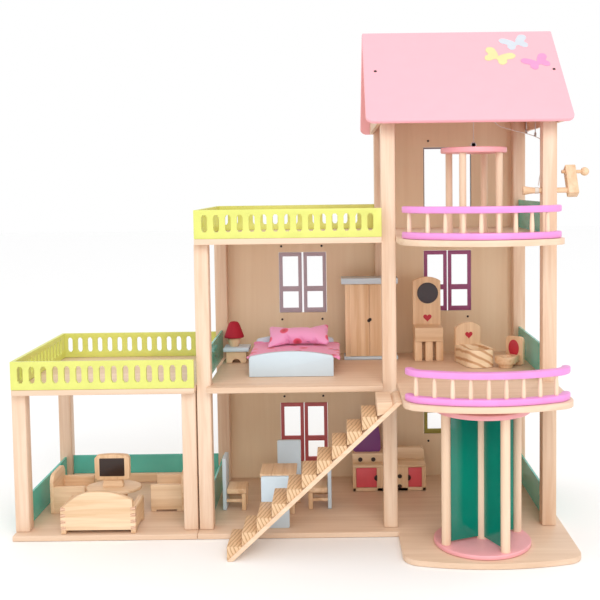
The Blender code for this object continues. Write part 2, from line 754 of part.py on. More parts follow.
def build_bedside():
    floor = FIRST_TOP + GAP
    left, right, front, back = -0.2380, -0.1970, 0.042, 0.082
    top = 0.0245
    table = box("bedside_table", (left, front, floor + top - 0.0045), (right, back, floor + top), ice_paint())
    body = box("bedside_body", (left + 0.0045, front + 0.003, floor), (right - 0.0045, back - 0.003,
                                                                      floor + top - 0.004))
    arch = rod("bedside_arch", 0.0065, ((left + right) / 2, front - 0.01, floor + 0.001),
               ((left + right) / 2, back + 0.01, floor + 0.001), sides=16)
    x, y = -0.2205, 0.062
    foot = rod("lamp_foot", 0.0085, (x, y, floor + top - 0.001), (x, y, floor + top + 0.0165), sides=14)
    shade = rod("lamp_shade", 0.0153, (x, y, floor + top + 0.0155), (x, y, floor + top + 0.0425), sides=16,
                end_radius=0.0070)
    join(table, body, foot, shade)
    cut(table, arch)


def build_wardrobe():
    floor = FIRST_TOP + GAP
    left, right, front, back = -0.0490, 0.0420, 0.0600, 0.0975
    wardrobe = box("wardrobe", (left + 0.0035, front + 0.003, floor + 0.004), (right - 0.0035, back, floor + 0.1250),
                   pine())
    foot = box("wardrobe_foot", (left + 0.0015, front + 0.001, floor), (right - 0.0015, back, floor + 0.008))
    top = box("wardrobe_top", (left, front, floor + 0.1220), (right, back, floor + 0.1320))
    join(wardrobe, foot, top)


# ---------------------------------------------------------------- dining room and kitchen
def build_dining():
    floor = BASE_TOP + GAP
    x, y, half, top = -0.1475, -0.035, 0.027, 0.0620
    table = box("dining_table", (x - half, y - half, floor + top - 0.006), (x + half, y + half, floor + top),
                dark_pine())
    legs = []
    for sx in (-1, 1):
        for sy in (-1, 1):
            lx, ly = x + sx * (half - 0.006), y + sy * (half - 0.006)
            legs.append(box("table_leg", (lx - 0.0035, ly - 0.0035, floor), (lx + 0.0035, ly + 0.0035,
                                                                            floor + top - 0.005)))
    join(table, one_mesh("table_legs", legs))
    build_chair("chair_left", -0.2325, 1, -0.0230)
    build_chair("chair_right", -0.0680, -1, -0.022)


def build_chair(name, back_x, side, y):
    """A block chair: a tall back board, a seat and two front legs. It faces +X where side is 1."""
    floor = BASE_TOP + GAP
    half, seat_z = 0.020, 0.0335

    def across(a, b, z0, z1, y0, y1):
        xs = sorted((back_x + side * a, back_x + side * b))
        return box(name + "_block", (xs[0], y0, z0), (xs[1], y1, z1))

    chair = across(0.0, 0.0055, floor, floor + 0.0800, y - half, y + half)
    chair.name = name
    chair.data.materials.append(ice_paint())
    seat = across(0.0045, 0.0360, floor + seat_z - 0.008, floor + seat_z, y - half, y + half)
    near = across(0.0285, 0.0345, floor, floor + seat_z - 0.007, y - half + 0.001, y - half + 0.008)
    far = across(0.0285, 0.0345, floor, floor + seat_z - 0.007, y + half - 0.008, y + half - 0.001)
    join(chair, seat, near, far)


def build_kitchen():
    """A stove with its control panel and hood, and a cupboard beside it."""
    floor = BASE_TOP + GAP
    left, middle, right, front, back = -0.0341, 0.0250, 0.0830, 0.0400, 0.0855
    counter = box("kitchen_counter", (left, front, floor), (right, back, floor + 0.0420), pine())
    panel = box("stove_panel", (left, front + 0.0150, floor + 0.0410), (middle, back, floor + 0.0570))
    splash = box("cupboard_back", (middle, back - 0.0100, floor + 0.0410), (right, back, floor + 0.0605))
    hood = box("stove_hood", (left + 0.0012, back - 0.0200, floor + 0.0560), (0.0116, back, floor + 0.0975))
    join(counter, panel, splash, hood)


# ---------------------------------------------------------------- bathroom
def build_bathroom():
    floor = FIRST_TOP + GAP
    left, right = 0.0670, 0.1120
    board = plate("washstand", [arched(left, right, 0, 0.1230, 0.1310)], 0.006, dark_pine(), (0, 0.078, floor),
                  stand=True)
    basin = box("wash_basin", (left + 0.0005, 0.040, floor + 0.0315), (right - 0.0005, 0.079, floor + 0.0535))
    legs = [box("wash_leg", (x - 0.004, 0.044, floor), (x + 0.004, 0.0785, floor + 0.0320))
            for x in (left + 0.006, (left + right) / 2, right - 0.006)]
    join(board, basin, one_mesh("wash_legs", legs))

    # the tub stands askew: its pieces are laid out about its headboard's middle, then turned together
    nose = arc(-0.0045, -0.0460, 0.0170, 180, 270) + arc(0.0045, -0.0460, 0.0170, 270, 360)
    tub = plate("bathtub", [nose + [(0.0215, 0.0), (-0.0215, 0.0)]], 0.0270, pine(), (0, 0, floor))
    head = plate("tub_head", [arched(-0.0210, 0.0210, 0, 0.0520, 0.0620)], 0.007, None, (0, -0.0010, floor),
                 stand=True)
    hollow = box("tub_hollow", (-0.0160, -0.0540, floor + 0.0080), (0.0160, -0.0070, floor + 0.0400))
    spin = Matrix.Translation((0.1510, 0.0400, 0)) @ Matrix.Rotation(radians(14), 4, "Z")
    bpy.context.view_layer.update()
    for piece in (tub, head, hollow):
        piece.matrix_world = spin @ piece.matrix_world
    join(tub, head)
    cut(tub, hollow)

    x, y = 0.2010, -0.0150
    bowl = rod("toilet", 0.0105, (x, y, floor), (x, y, floor + 0.0070), dark_pine(), 20, 0.0120)
    rim = rod("toilet_rim", 0.0165, (x, y, floor + 0.0060), (x, y, floor + 0.0170), sides=24)
    link = box("toilet_link", (-0.010, 0.0, 0.0), (0.010, 0.0280, 0.0105))
    board = box("toilet_back", (-0.0155, 0.0240, 0.0), (0.0155, 0.0300, 0.0443))
    for piece, low in ((link, 0.0062), (board, 0.0)):
        bpy.context.view_layer.update()
        piece.matrix_world = (Matrix.Translation((x, y, floor + low)) @ Matrix.Rotation(radians(-42), 4, "Z")
                              @ piece.matrix_world)
    join(bowl, rim, link, board)


# ---------------------------------------------------------------- terrace furniture
def build_terrace_set():
    floor = BASE_TOP + GAP
    left, right, front, rear = -0.4520, -0.3460, -0.1310, -0.0700
    outline = [(left + 0.006, 0.0050), (right - 0.006, 0.0050), (right - 0.006, 0.0500), (-0.3630, 0.0545),
               (-0.3810, 0.0595), (-0.3990, 0.0615), (-0.4170, 0.0590), (-0.4330, 0.0520), (left + 0.006, 0.0410)]
    settee = plate("settee", [outline], 0.008, pine(), (0, front, floor), stand=True)
    seat = box("settee_seat", (left + 0.006, front + 0.007, floor + 0.0200), (right - 0.006, rear, floor + 0.0280))
    arms = [box("settee_arm", (x, front, floor), (x + 0.007, rear, floor + 0.0385)) for x in (left, right - 0.007)]
    join(settee, seat, one_mesh("settee_arms", arms))

    build_armchair("armchair_left", -0.4925, 1, -0.0465, 0.0155)
    build_armchair("armchair_right", -0.2890, -1, -0.0420, 0.0160)

    x, y = -0.3997, -0.0305
    oval = [(x + 0.0418 * cos(t), y + 0.0316 * sin(t)) for t in [2 * pi * k / 32 for k in range(32)]]
    table = plate("coffee_table_with_tv", [oval], 0.005, pine(), (0, 0, floor + 0.0320))
    pedestal = box("coffee_table_leg", (x - 0.018, y - 0.012, floor), (x + 0.018, y + 0.012, floor + 0.0330))
    stand = box("tv_stand", (x - 0.0155, y - 0.006, floor + 0.0360), (x + 0.0155, y + 0.004, floor + 0.0500))
    screen = plate("tv_case", [rounded_rectangle(x - 0.0265, 0.0, x + 0.0265, 0.0390, 0.004)], 0.011, None,
                   (0, y - 0.009, floor + 0.0486), stand=True)
    join(table, pedestal, stand, screen)


def build_armchair(name, back_x, side, front, rear):
    """A back board, two arms and a seat between them. It faces +X where side is 1."""
    floor = BASE_TOP + GAP

    def across(a, b, low, high, y0, y1):
        xs = sorted((back_x + side * a, back_x + side * b))
        return box(name + "_block", (xs[0], y0, floor + low), (xs[1], y1, floor + high))

    chair = across(0.0, 0.0060, 0.0, 0.0595, front, rear)
    chair.name = name
    chair.data.materials.append(pine())
    near = across(0.0050, 0.0525, 0.0, 0.0410, front, front + 0.007)
    far = across(0.0050, 0.0525, 0.0, 0.0410, rear - 0.007, rear)
    seat = across(0.0050, 0.0490, 0.0180, 0.0260, front + 0.006, rear - 0.006)
    join(chair, near, far, seat)


def main():
    global parts, tools
    clear_scene()
    parts = new_collection("wooden dollhouse")
    tools = new_collection("cutters and joined pieces")
    build_bases()
    build_first_floor()
    build_second_floor()
    build_terrace_deck()
    build_posts()
    build_wall()
    build_shutters()
    build_roof()
    build_gables()
    build_fences()
    build_guards()
    build_railing("railing_first", FIRST_TOP, BALCONY_RIGHT, *FIRST_BALCONY, FIRST_SPINDLES)
    build_railing("railing_second", SECOND_TOP, SECOND_RIGHT, *SECOND_BALCONY, SECOND_SPINDLES)
    build_stair()
    build_door()
    build_lift()
    build_cord()
    build_crank()
    build_bed()
    build_bedside()
    build_wardrobe()
    build_dining()
    build_kitchen()
    build_bathroom()
    build_terrace_set()


main()
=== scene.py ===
"""The looks of a wooden dollhouse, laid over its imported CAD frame.

Metres, +Z up, the open front towards -Y, the same frame as the CAD model.
"""

from math import atan2, cos, hypot, pi, radians, sin

import bmesh
import bpy
from mathutils import Matrix, Vector, noise


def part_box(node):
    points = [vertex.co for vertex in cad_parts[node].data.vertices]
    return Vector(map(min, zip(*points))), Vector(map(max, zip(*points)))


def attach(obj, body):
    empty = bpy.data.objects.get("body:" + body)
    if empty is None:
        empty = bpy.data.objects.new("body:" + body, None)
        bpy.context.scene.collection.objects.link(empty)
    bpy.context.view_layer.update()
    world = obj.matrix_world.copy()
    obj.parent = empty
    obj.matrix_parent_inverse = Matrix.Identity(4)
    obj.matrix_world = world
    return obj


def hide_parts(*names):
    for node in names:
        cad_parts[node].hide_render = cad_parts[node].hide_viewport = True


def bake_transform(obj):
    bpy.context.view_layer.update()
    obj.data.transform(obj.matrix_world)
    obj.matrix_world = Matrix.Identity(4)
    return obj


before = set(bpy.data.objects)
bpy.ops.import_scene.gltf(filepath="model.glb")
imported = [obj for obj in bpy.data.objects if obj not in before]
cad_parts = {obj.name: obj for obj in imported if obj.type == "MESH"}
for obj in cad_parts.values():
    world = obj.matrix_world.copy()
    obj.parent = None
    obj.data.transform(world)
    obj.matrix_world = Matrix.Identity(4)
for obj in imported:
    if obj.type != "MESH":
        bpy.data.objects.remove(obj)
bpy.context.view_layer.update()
GAP = 0.0003
BASE_TOP, FIRST_TOP, SECOND_TOP = 0.008, 0.217, 0.426
DOOR_X, DOOR_Y = 0.139, -0.177
LIFT_X, LIFT_Y = 0.1440, -0.0745
CORD_RADIUS = 0.0006
RIDGE_Z, ROOF_DROP, ROOF_FALL = 0.7270, 0.00825, 0.9433     # ridge, drop to the underside, fall per metre


# ---------------------------------------------------------------- materials
def srgb(r, g, b):
    linear = [(c / 255 + 0.055) / 1.055 for c in (r, g, b)]
    return (*[c ** 2.4 for c in linear], 1.0)


def shader(name, rough, **values):
    made = bpy.data.materials.new(name)
    made.use_nodes = True
    bsdf = made.node_tree.nodes["Principled BSDF"]
    bsdf.inputs["Roughness"].default_value = rough
    for key, value in values.items():
        bsdf.inputs[key.replace("_", " ")].default_value = value
    return made, made.node_tree, bsdf


def add(tree, kind, inputs=None, **settings):
    made = tree.nodes.new("ShaderNode" + kind)
    for key, value in settings.items():
        setattr(made, key, value)
    for key, value in (inputs or {}).items():
        if isinstance(value, bpy.types.NodeSocket):
            tree.links.new(value, made.inputs[key])
        else:
            made.inputs[key].default_value = value
    return made


def placed(tree, stretch, seed):
    """The piece's own coordinates in metres, stretched along the grain."""
    coord = add(tree, "TexCoord")
    return add(tree, "Mapping", {"Vector": coord.outputs["Object"], "Scale": stretch,
                                 "Location": (seed, 0.7 * seed, 1.3 * seed)}).outputs["Vector"]


def ramp(tree, factor, *stops):
    made = add(tree, "ValToRGB", {"Fac": factor})
    elements = made.color_ramp.elements
    while len(elements) < len(stops):
        elements.new(0.5)
    for element, (position, colour) in zip(elements, stops):
        element.position = position
        element.color = colour
    return made.outputs["Color"]


def bump(tree, bsdf, height, strength, distance):
    made = add(tree, "Bump", {"Height": height, "Strength": strength, "Distance": distance})
    tree.links.new(made.outputs["Normal"], bsdf.inputs["Normal"])


STRETCH = {"X": (0.05, 1.0, 1.0), "Y": (1.0, 0.05, 1.0), "Z": (1.0, 1.0, 0.05)}


def wood(name, light, dark, along="Z", seed=0.0, rough=0.48, fine=1.0, spread=(0.36, 0.62)):
    """Lacquered softwood: streaks and broad bands along the grain, fine fibres in the bump."""
    made, tree, bsdf = shader(name, rough)
    at = placed(tree, STRETCH[along], seed)
    streaks = add(tree, "TexNoise", {"Vector": at, "Scale": 150 * fine, "Detail": 5, "Roughness": 0.6,
                                     "Distortion": 0.6})
    bands = add(tree, "TexNoise", {"Vector": at, "Scale": 38 * fine, "Detail": 2, "Distortion": 1.2})
    both = add(tree, "Math", {0: streaks.outputs["Fac"], 1: bands.outputs["Fac"]}, operation="ADD")
    half = add(tree, "Math", {0: both.outputs[0], 1: 0.5}, operation="MULTIPLY")
    middle = tuple(0.55 * a + 0.45 * b for a, b in zip(light, dark))
    colour = ramp(tree, half.outputs[0], (spread[0], dark), (0.5, middle), (spread[1], light))
    tree.links.new(colour, bsdf.inputs["Base Color"])
    fibres = add(tree, "TexNoise", {"Vector": at, "Scale": 1500, "Detail": 3})
    bump(tree, bsdf, fibres.outputs["Fac"], 0.25, 0.0002)
    gloss = add(tree, "MapRange", {"Value": streaks.outputs["Fac"], "To Min": rough - 0.07, "To Max": rough + 0.1})
    tree.links.new(gloss.outputs["Result"], bsdf.inputs["Roughness"])
    return made


def ringed(name, light, dark, along="X", seed=0.0, bands=260.0, tilt=0.5, profile="SAW"):
    """Wood cut across its growth rings, with the strong stripes of end grain."""
    made, tree, bsdf = shader(name, 0.5)
    coord = add(tree, "TexCoord")
    at = add(tree, "Mapping", {"Vector": coord.outputs["Object"], "Rotation": (0.2, tilt, 0.3),
                               "Location": (seed, seed, 0.5 * seed)}).outputs["Vector"]
    rings = add(tree, "TexWave", {"Vector": at, "Scale": bands / 6.28, "Distortion": 2.4, "Detail": 2,
                                  "Detail Scale": 1.2}, bands_direction=along, wave_profile=profile)
    colour = ramp(tree, rings.outputs["Fac"], (0.0, light), (0.55, light), (0.95, dark))
    tree.links.new(colour, bsdf.inputs["Base Color"])
    bump(tree, bsdf, rings.outputs["Fac"], 0.1, 0.0002)
    return made


def paint(name, colour, rough=0.36, shade=0.93):
    """Sprayed satin paint on wood: faintly uneven in colour, with a fine orange peel."""
    made, tree, bsdf = shader(name, rough)
    at = placed(tree, (1, 1, 1), 3.0)
    cloud = add(tree, "TexNoise", {"Vector": at, "Scale": 45, "Detail": 3})
    darker = (*[c * shade for c in colour[:3]], 1.0)
    tree.links.new(ramp(tree, cloud.outputs["Fac"], (0.3, darker), (0.7, colour)), bsdf.inputs["Base Color"])
    peel = add(tree, "TexNoise", {"Vector": at, "Scale": 1300, "Detail": 2})
    bump(tree, bsdf, peel.outputs["Fac"], 0.12, 0.0002)
    return made


def acrylic(name, colour, alpha):
    made, tree, bsdf = shader(name, 0.08, Alpha=alpha, IOR=1.49)
    at = placed(tree, (1, 1, 1), 1.0)
    cloud = add(tree, "TexNoise", {"Vector": at, "Scale": 14, "Detail": 2})
    darker = (*[c * 0.8 for c in colour[:3]], 1.0)
    tree.links.new(ramp(tree, cloud.outputs["Fac"], (0.3, darker), (0.7, colour)), bsdf.inputs["Base Color"])
    return made


def print_cloth(name, ground, seed):
    """Printed cotton: rosy spots with darker hearts and a few violet dashes, over a plain weave."""
    made, tree, bsdf = shader(name, 0.85, Sheen_Weight=0.3)
    at = placed(tree, (1, 1, 1), seed)
    spots = add(tree, "TexVoronoi", {"Vector": at, "Scale": 42, "Randomness": 0.75})
    disc = ramp(tree, spots.outputs["Distance"], (0.0, srgb(170, 60, 70)), (0.13, srgb(214, 70, 92)),
                (0.26, srgb(236, 96, 130)), (0.32, ground))
    dashes = add(tree, "Mapping", {"Vector": at, "Scale": (0.35, 1.2, 1.2), "Rotation": (0, 0, 0.5)})
    strokes = add(tree, "TexVoronoi", {"Vector": dashes.outputs["Vector"], "Scale": 95, "Randomness": 1.0})
    mask = ramp(tree, strokes.outputs["Distance"], (0.14, (1, 1, 1, 1)), (0.2, (0, 0, 0, 1)))
    patch = add(tree, "TexNoise", {"Vector": at, "Scale": 26})
    where = ramp(tree, patch.outputs["Fac"], (0.52, (0, 0, 0, 1)), (0.57, (1, 1, 1, 1)))
    both = add(tree, "Math", {0: mask, 1: where}, operation="MULTIPLY")
    mixed = add(tree, "MixRGB", {"Fac": both.outputs[0], "Color1": disc, "Color2": srgb(98, 44, 112)})
    tree.links.new(mixed.outputs["Color"], bsdf.inputs["Base Color"])
    warp = add(tree, "TexWave", {"Vector": at, "Scale": 420}, bands_direction="X")
    weft = add(tree, "TexWave", {"Vector": at, "Scale": 420}, bands_direction="Y")
    weave = add(tree, "Math", {0: warp.outputs["Fac"], 1: weft.outputs["Fac"]}, operation="MAXIMUM")
    bump(tree, bsdf, weave.outputs[0], 0.3, 0.0002)
    return made


POST = wood("post pine", srgb(240, 214, 190), srgb(222, 186, 156), "Z", 1.0)
# painted shade: the same post pine made a little darker, for the tower posts
POST_PAINTED_SHADE = wood("tower post pine with painted shade", srgb(238, 211, 186), srgb(219, 183, 152), "Z", 4.1)
PLATE = wood("plate ply", srgb(233, 204, 178), srgb(219, 186, 157), "X", 2.0, fine=0.8)
DECK = wood("deck ply", srgb(236, 208, 182), srgb(222, 190, 162), "X", 6.0, fine=0.8)
WALL = wood("wall ply", srgb(243, 219, 187), srgb(232, 203, 168), "Z", 3.0, fine=0.55, spread=(0.3, 0.7))
GABLE = wood("gable pine", srgb(228, 196, 164), srgb(206, 168, 134), "Y", 5.0)
TURNED = wood("turned pine", srgb(240, 214, 188), srgb(226, 194, 164), "Z", 7.0)
CRANK = wood("crank beech", srgb(240, 210, 176), srgb(216, 176, 136), "Z", 8.0)
AXLE = wood("axle beech", srgb(240, 210, 176), srgb(220, 180, 140), "X", 8.0)
FURN_X = wood("furniture pine, long", srgb(245, 216, 182), srgb(220, 182, 140), "X", 9.0, fine=1.1)
FURN_Y = wood("furniture pine, deep", srgb(243, 211, 175), srgb(216, 175, 133), "Y", 9.5, fine=1.1)
FURN_Z = wood("furniture pine, upright", srgb(246, 213, 175), srgb(221, 179, 135), "Z", 10.0, fine=1.1)
STAIR_X = wood("stair board", srgb(240, 212, 184), srgb(222, 186, 152), "X", 11.0)
STRIPED = ringed("stair block", srgb(226, 190, 150), srgb(178, 134, 92), "X", 0.3, 420, 0.35)
JOINT = ringed("comb joint end grain", srgb(226, 186, 158), srgb(186, 140, 108), "Z", 1.3, 700, 0.2)
TUB_WOOD = ringed("tub block", srgb(250, 226, 190), srgb(210, 166, 122), "Z", 0.9, 190, -0.45, "SIN")
LIME = paint("lime paint", srgb(220, 222, 116))
PINK = paint("pink paint", srgb(250, 178, 188), 0.34, 0.98)
PINK_DISC = paint("pink disc paint", srgb(244, 172, 178), 0.4)
LILAC = paint("lilac paint", srgb(234, 150, 216), 0.36)
MAUVE = paint("mauve grey paint", srgb(190, 172, 184))
ROSE = paint("rose red paint", srgb(202, 98, 102))
PLUM = paint("plum paint", srgb(164, 84, 134))
OLIVE = paint("olive paint", srgb(160, 152, 70))
GREY = paint("grey paint", srgb(150, 148, 152))
ICE = paint("ice blue paint", srgb(206, 222, 232), 0.4, 0.97)
CRIMSON = paint("crimson paint", srgb(166, 0, 36), 0.75)
CORAL = paint("coral red paint", srgb(232, 92, 102), 0.4)
VIOLET = paint("violet paint", srgb(130, 70, 136), 0.4)
DARK = paint("dark brown stain", srgb(48, 30, 23), 0.4)
SMOKE = paint("smoke mirror", srgb(58, 43, 46), 0.12)
RED = paint("decal red", srgb(200, 44, 62), 0.4)
LEMON = paint("decal yellow", srgb(244, 220, 158), 0.4)
SKY = paint("decal blue", srgb(206, 212, 220), 0.4)
ROSY = paint("decal pink", srgb(244, 150, 196), 0.4)
GUARD = acrylic("teal guard acrylic", srgb(96, 216, 198), 0.82)
TEAL = acrylic("teal door acrylic", srgb(0, 142, 120), 0.8)
STEEL = shader("bright steel", 0.28, Metallic=1.0, Base_Color=srgb(200, 198, 194))[0]
TWINE = paint("white twine", srgb(224, 218, 208), 0.8)
BEDDING = print_cloth("printed bedding", srgb(238, 146, 186), 2.0)
PILLOW = print_cloth("printed pillow", srgb(242, 166, 208), 5.3)


# ---------------------------------------------------------------- forms
def rectangle(x0, y0, x1, y1):
    return [(x0, y0), (x1, y0), (x1, y1), (x0, y1)]


def arc(x, y, radius, start, end, steps=8):
    turns = [radians(start + (end - start) * k / steps) for k in range(steps + 1)]
    return [(x + radius * cos(t), y + radius * sin(t)) for t in turns]


def rounded(x0, y0, x1, y1, r, steps=5):
    return (arc(x0 + r, y0 + r, r, 180, 270, steps) + arc(x1 - r, y0 + r, r, 270, 360, steps)
            + arc(x1 - r, y1 - r, r, 0, 90, steps) + arc(x0 + r, y1 - r, r, 90, 180, steps))


def bowed(start, end, sag, steps=16):
    """Points of a circular arc from start to end, bulging to the right of the way by sag."""
    (x0, y0), (x1, y1) = start, end
    chord = hypot(x1 - x0, y1 - y0)
    radius = chord * chord / (8 * sag) + sag / 2
    half = atan2(chord / 2, radius - sag)
    ux, uy = (x1 - x0) / chord, (y1 - y0) / chord
    loop = []
    for k in range(steps + 1):
        t = -half + 2 * half * k / steps
        u, v = radius * sin(t), sag - radius * (1 - cos(t))
        loop.append(((x0 + x1) / 2 + ux * u + uy * v, (y0 + y1) / 2 + uy * u - ux * v))
    return loop


def arched(x0, x1, low, shoulder, crown, steps=16):
    """An upright board's outline with a low arch along its top."""
    return [(x0, low), (x1, low)] + bowed((x1, shoulder), (x0, shoulder), crown - shoulder, steps)


def ease(mesh, width, segments=2, sharp=radians(28)):
    """Rounds the sharp edges of a bmesh."""
    if width <= 0:
        return
    edges = [e for e in mesh.edges if len(e.link_faces) == 2 and e.calc_face_angle(0) > sharp]
    bmesh.ops.bevel(mesh, geom=edges, offset=width, segments=segments, profile=0.5, affect="EDGES",
                    clamp_overlap=True)


def linked(name, data):
    """A new object of the data, in the scene."""
    made = bpy.data.objects.new(name, data)
    bpy.context.scene.collection.objects.link(made)
    return made


def add_path(curve, points, closed):
    spline = curve.splines.new("POLY")
    spline.points.add(len(points) - 1)
    for point, at in zip(spline.points, points):
        point.co = (*at, 1)
    spline.use_cyclic_u = closed


def solid_of(curve):
    """The mesh that a curve's extrusion or bevel gives."""
    holder = linked(curve.name, curve)
    bpy.context.view_layer.update()
    solid = bpy.data.meshes.new_from_object(holder.evaluated_get(bpy.context.evaluated_depsgraph_get()))
    bpy.data.objects.remove(holder)
    return solid


def move(x, y, z):
    return Matrix.Translation((x, y, z))


def rotate(degrees, axis):
    return Matrix.Rotation(radians(degrees), 4, axis)


class Piece:
    """One named piece, put together from several forms, each with its own material."""

    def __init__(self, name):
        self.name = name
        self.mesh = bpy.data.meshes.new(name)
        self.work = bmesh.new()
        self.materials = []

    def take(self, form, material, matrix=None):
        if material not in self.materials:
            self.materials.append(material)
        index = self.materials.index(material)
        for face in form.faces:
            face.material_index = index
        if matrix is not None:
            form.transform(matrix)
        bmesh.ops.recalc_face_normals(form, faces=form.faces)
        spare = bpy.data.meshes.new("spare")
        form.to_mesh(spare)
        form.free()
        self.work.from_mesh(spare)
        bpy.data.meshes.remove(spare)
        return self

    def block(self, material, low, high, width=0.0007, matrix=None):
        form = bmesh.new()
        bmesh.ops.create_cube(form, size=1)
        size = [b - a for a, b in zip(low, high)]
        centre = [(a + b) / 2 for a, b in zip(low, high)]
        form.transform(Matrix.Translation(centre) @ Matrix.Diagonal((*size, 1)))
        ease(form, width)
        return self.take(form, material, matrix)

    def board(self, material, loops, low, high, width=0.0007, plane="XY", matrix=None):
        """A flat outline with holes, from low to high along the third axis of its plane."""
        curve = bpy.data.curves.new(self.name, "CURVE")
        curve.dimensions = "2D"
        curve.fill_mode = "BOTH"
        curve.extrude = (high - low) / 2
        for loop in loops:
            add_path(curve, [(x, y, 0) for x, y in loop], True)
        solid = solid_of(curve)
        form = bmesh.new()
        form.from_mesh(solid)
        bpy.data.meshes.remove(solid)
        bmesh.ops.remove_doubles(form, verts=form.verts, dist=0.00001)
        bmesh.ops.dissolve_limit(form, angle_limit=0.01, verts=form.verts, edges=form.edges)
        form.transform(move(0, 0, (low + high) / 2))
        ease(form, width)
        turn = {"XY": Matrix.Identity(4), "XZ": Matrix(((1, 0, 0, 0), (0, 0, 1, 0), (0, 1, 0, 0), (0, 0, 0, 1))),
                "YZ": Matrix(((0, 0, 1, 0), (1, 0, 0, 0), (0, 1, 0, 0), (0, 0, 0, 1)))}[plane]
        return self.take(form, material, turn if matrix is None else matrix @ turn)

    def turned(self, material, profile, origin=(0, 0, 0), axis=(0, 0, 1), sides=28):
        """A turned form: (height along the axis, radius) pairs about an axis from an origin."""
        form = bmesh.new()
        rings = []
        for height, radius in profile:
            if radius <= 0:
                rings.append([form.verts.new((0, 0, height))])
            else:
                rings.append([form.verts.new((radius * cos(2 * pi * k / sides), radius * sin(2 * pi * k / sides),
                                              height)) for k in range(sides)])
        for a, b in zip(rings, rings[1:]):
            for k in range(sides):
                quad = [a[k % len(a)], a[(k + 1) % len(a)], b[(k + 1) % len(b)], b[k % len(b)]]
                form.faces.new(list(dict.fromkeys(quad)))
        for ring in (rings[0], rings[-1]):
            if len(ring) > 1:
                form.faces.new(ring)
        turn = Vector(axis).to_track_quat("Z", "Y").to_matrix().to_4x4()
        return self.take(form, material, Matrix.Translation(origin) @ turn)

    def copied(self, material, node, width=0.0007):
        """The CAD node's own shape with eased edges."""
        form = bmesh.new()
        form.from_mesh(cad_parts[node].data)
        bmesh.ops.remove_doubles(form, verts=form.verts, dist=0.00001)
        bmesh.ops.dissolve_limit(form, angle_limit=0.01, verts=form.verts, edges=form.edges)
        ease(form, width)
        return self.take(form, material)

    def done(self, body="house", replaces=(), angle=32):
        self.work.to_mesh(self.mesh)
        self.work.free()
        for material in self.materials:
            self.mesh.materials.append(material)
        self.mesh.shade_smooth()
        self.mesh.set_sharp_from_angle(angle=radians(angle))
        made = linked(self.name, self.mesh)
        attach(made, body)
        if replaces:
            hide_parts(*([replaces] if isinstance(replaces, str) else replaces))
        return made


def finish_node(node, material):
    """A CAD node that keeps its shape and gets its real finish."""
    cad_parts[node].material_slots[0].material = material


# ---------------------------------------------------------------- camera, light and floor
def build_stage():
    camera = bpy.data.cameras.new("camera")
    holder = linked("camera", camera)
    camera.sensor_width = 36
    camera.lens = 56.21
    camera.shift_x = -0.0606
    camera.shift_y = -0.0921
    camera.clip_start = 0.05
    holder.matrix_world = (move(-0.0558, -1.4324, 0.4998) @ Matrix.Rotation(pi / 2 - 0.0645, 4, "X")
                           @ Matrix.Rotation(-0.01275, 4, "Z"))
    bpy.context.scene.camera = holder
    bpy.context.scene.view_settings.view_transform = "Standard"

    world = bpy.data.worlds.new("white studio")
    world.use_nodes = True
    world.node_tree.nodes["Background"].inputs["Color"].default_value = (1, 1, 1, 1)
    world.node_tree.nodes["Background"].inputs["Strength"].default_value = 1.0
    bpy.context.scene.world = world

    for name, place, aim, size, power in (
        ("key", (0.4, -2.3, 1.75), (0, 0, 0.35), 1.3, 25),
        ("fill", (-1.5, -2.0, 0.9), (0, 0, 0.3), 1.6, 2.5),
    ):
        light = bpy.data.lights.new(name, "AREA")
        light.size = size
        light.energy = power
        lamp = linked(name, light)
        lamp.location = place
        lamp.rotation_euler = (Vector(aim) - Vector(place)).to_track_quat("-Z", "Y").to_euler()

    mesh = bpy.data.meshes.new("floor")
    mesh.from_pydata([(-9, -9, 0), (9, -9, 0), (9, 9, 0), (-9, 9, 0)], [], [(0, 1, 2, 3)])
    floor = linked("floor", mesh)
    floor.location.z = -0.0004
    mesh.materials.append(shader("pale floor", 0.9, Base_Color=(0.985, 0.985, 0.985, 1))[0])


# ---------------------------------------------------------------- house
def build_frame():
    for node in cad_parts:
        if node.startswith("post_"):
            # the tower posts take the darker copy of the post pine, which is painted shade
            Piece(node + "_eased").copied(POST if "tower" not in node else POST_PAINTED_SHADE, node, 0.0014).done(
                replaces=node)
        elif node.startswith("guard_"):
            finish_node(node, GUARD)
        elif node.startswith("gable_"):
            finish_node(node, GABLE)
        elif node.startswith("fence_"):
            Piece(node + "_eased").copied(LIME, node, 0.0006).done(replaces=node)
    for node, material in (("base_left", PLATE), ("base_main", PLATE), ("floor_first", PLATE),
                           ("floor_second", DECK), ("deck_left", DECK)):
        Piece(node + "_eased").copied(material, node, 0.0012).done(replaces=node)
    finish_node("back_wall", WALL)


def build_roof():
    for node in ("roof_front", "roof_back"):
        Piece(node + "_eased").copied(PINK, node, 0.0016).done(replaces=node)
    slope = atan2(0.1415, 0.150)
    # a frame on the front slope: its x runs along the ridge, its y up the slope from the ridge line
    on_slope = move(0, 0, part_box("roof_front")[1].z) @ Matrix.Rotation(slope, 4, "X")
    marks = Piece("roof_butterflies")
    for x, down, turn, size, colour in ((0.183, 0.066, -28, 0.0225, LEMON), (0.215, 0.032, 18, 0.0215, SKY),
                                        (0.2405, 0.080, 24, 0.0205, ROSY)):
        at = on_slope @ move(x, -down, 0) @ rotate(turn, "Z")
        marks.board(colour, [butterfly(size)], 0.0002, 0.0005, 0, matrix=at)
    marks.done()
    screws = Piece("roof_screws")
    for x, down in ((0.0035, 0.0955), (0.2610, 0.0955)):
        at = on_slope @ Vector((x, -down, -0.0003))
        up = on_slope.to_3x3() @ Vector((0, 0, 1))
        screws.turned(DARK, [(0, 0.0023), (0.0007, 0.0023), (0.0009, 0.0021), (0.0008, 0)], at, up, 20)
    screws.done()


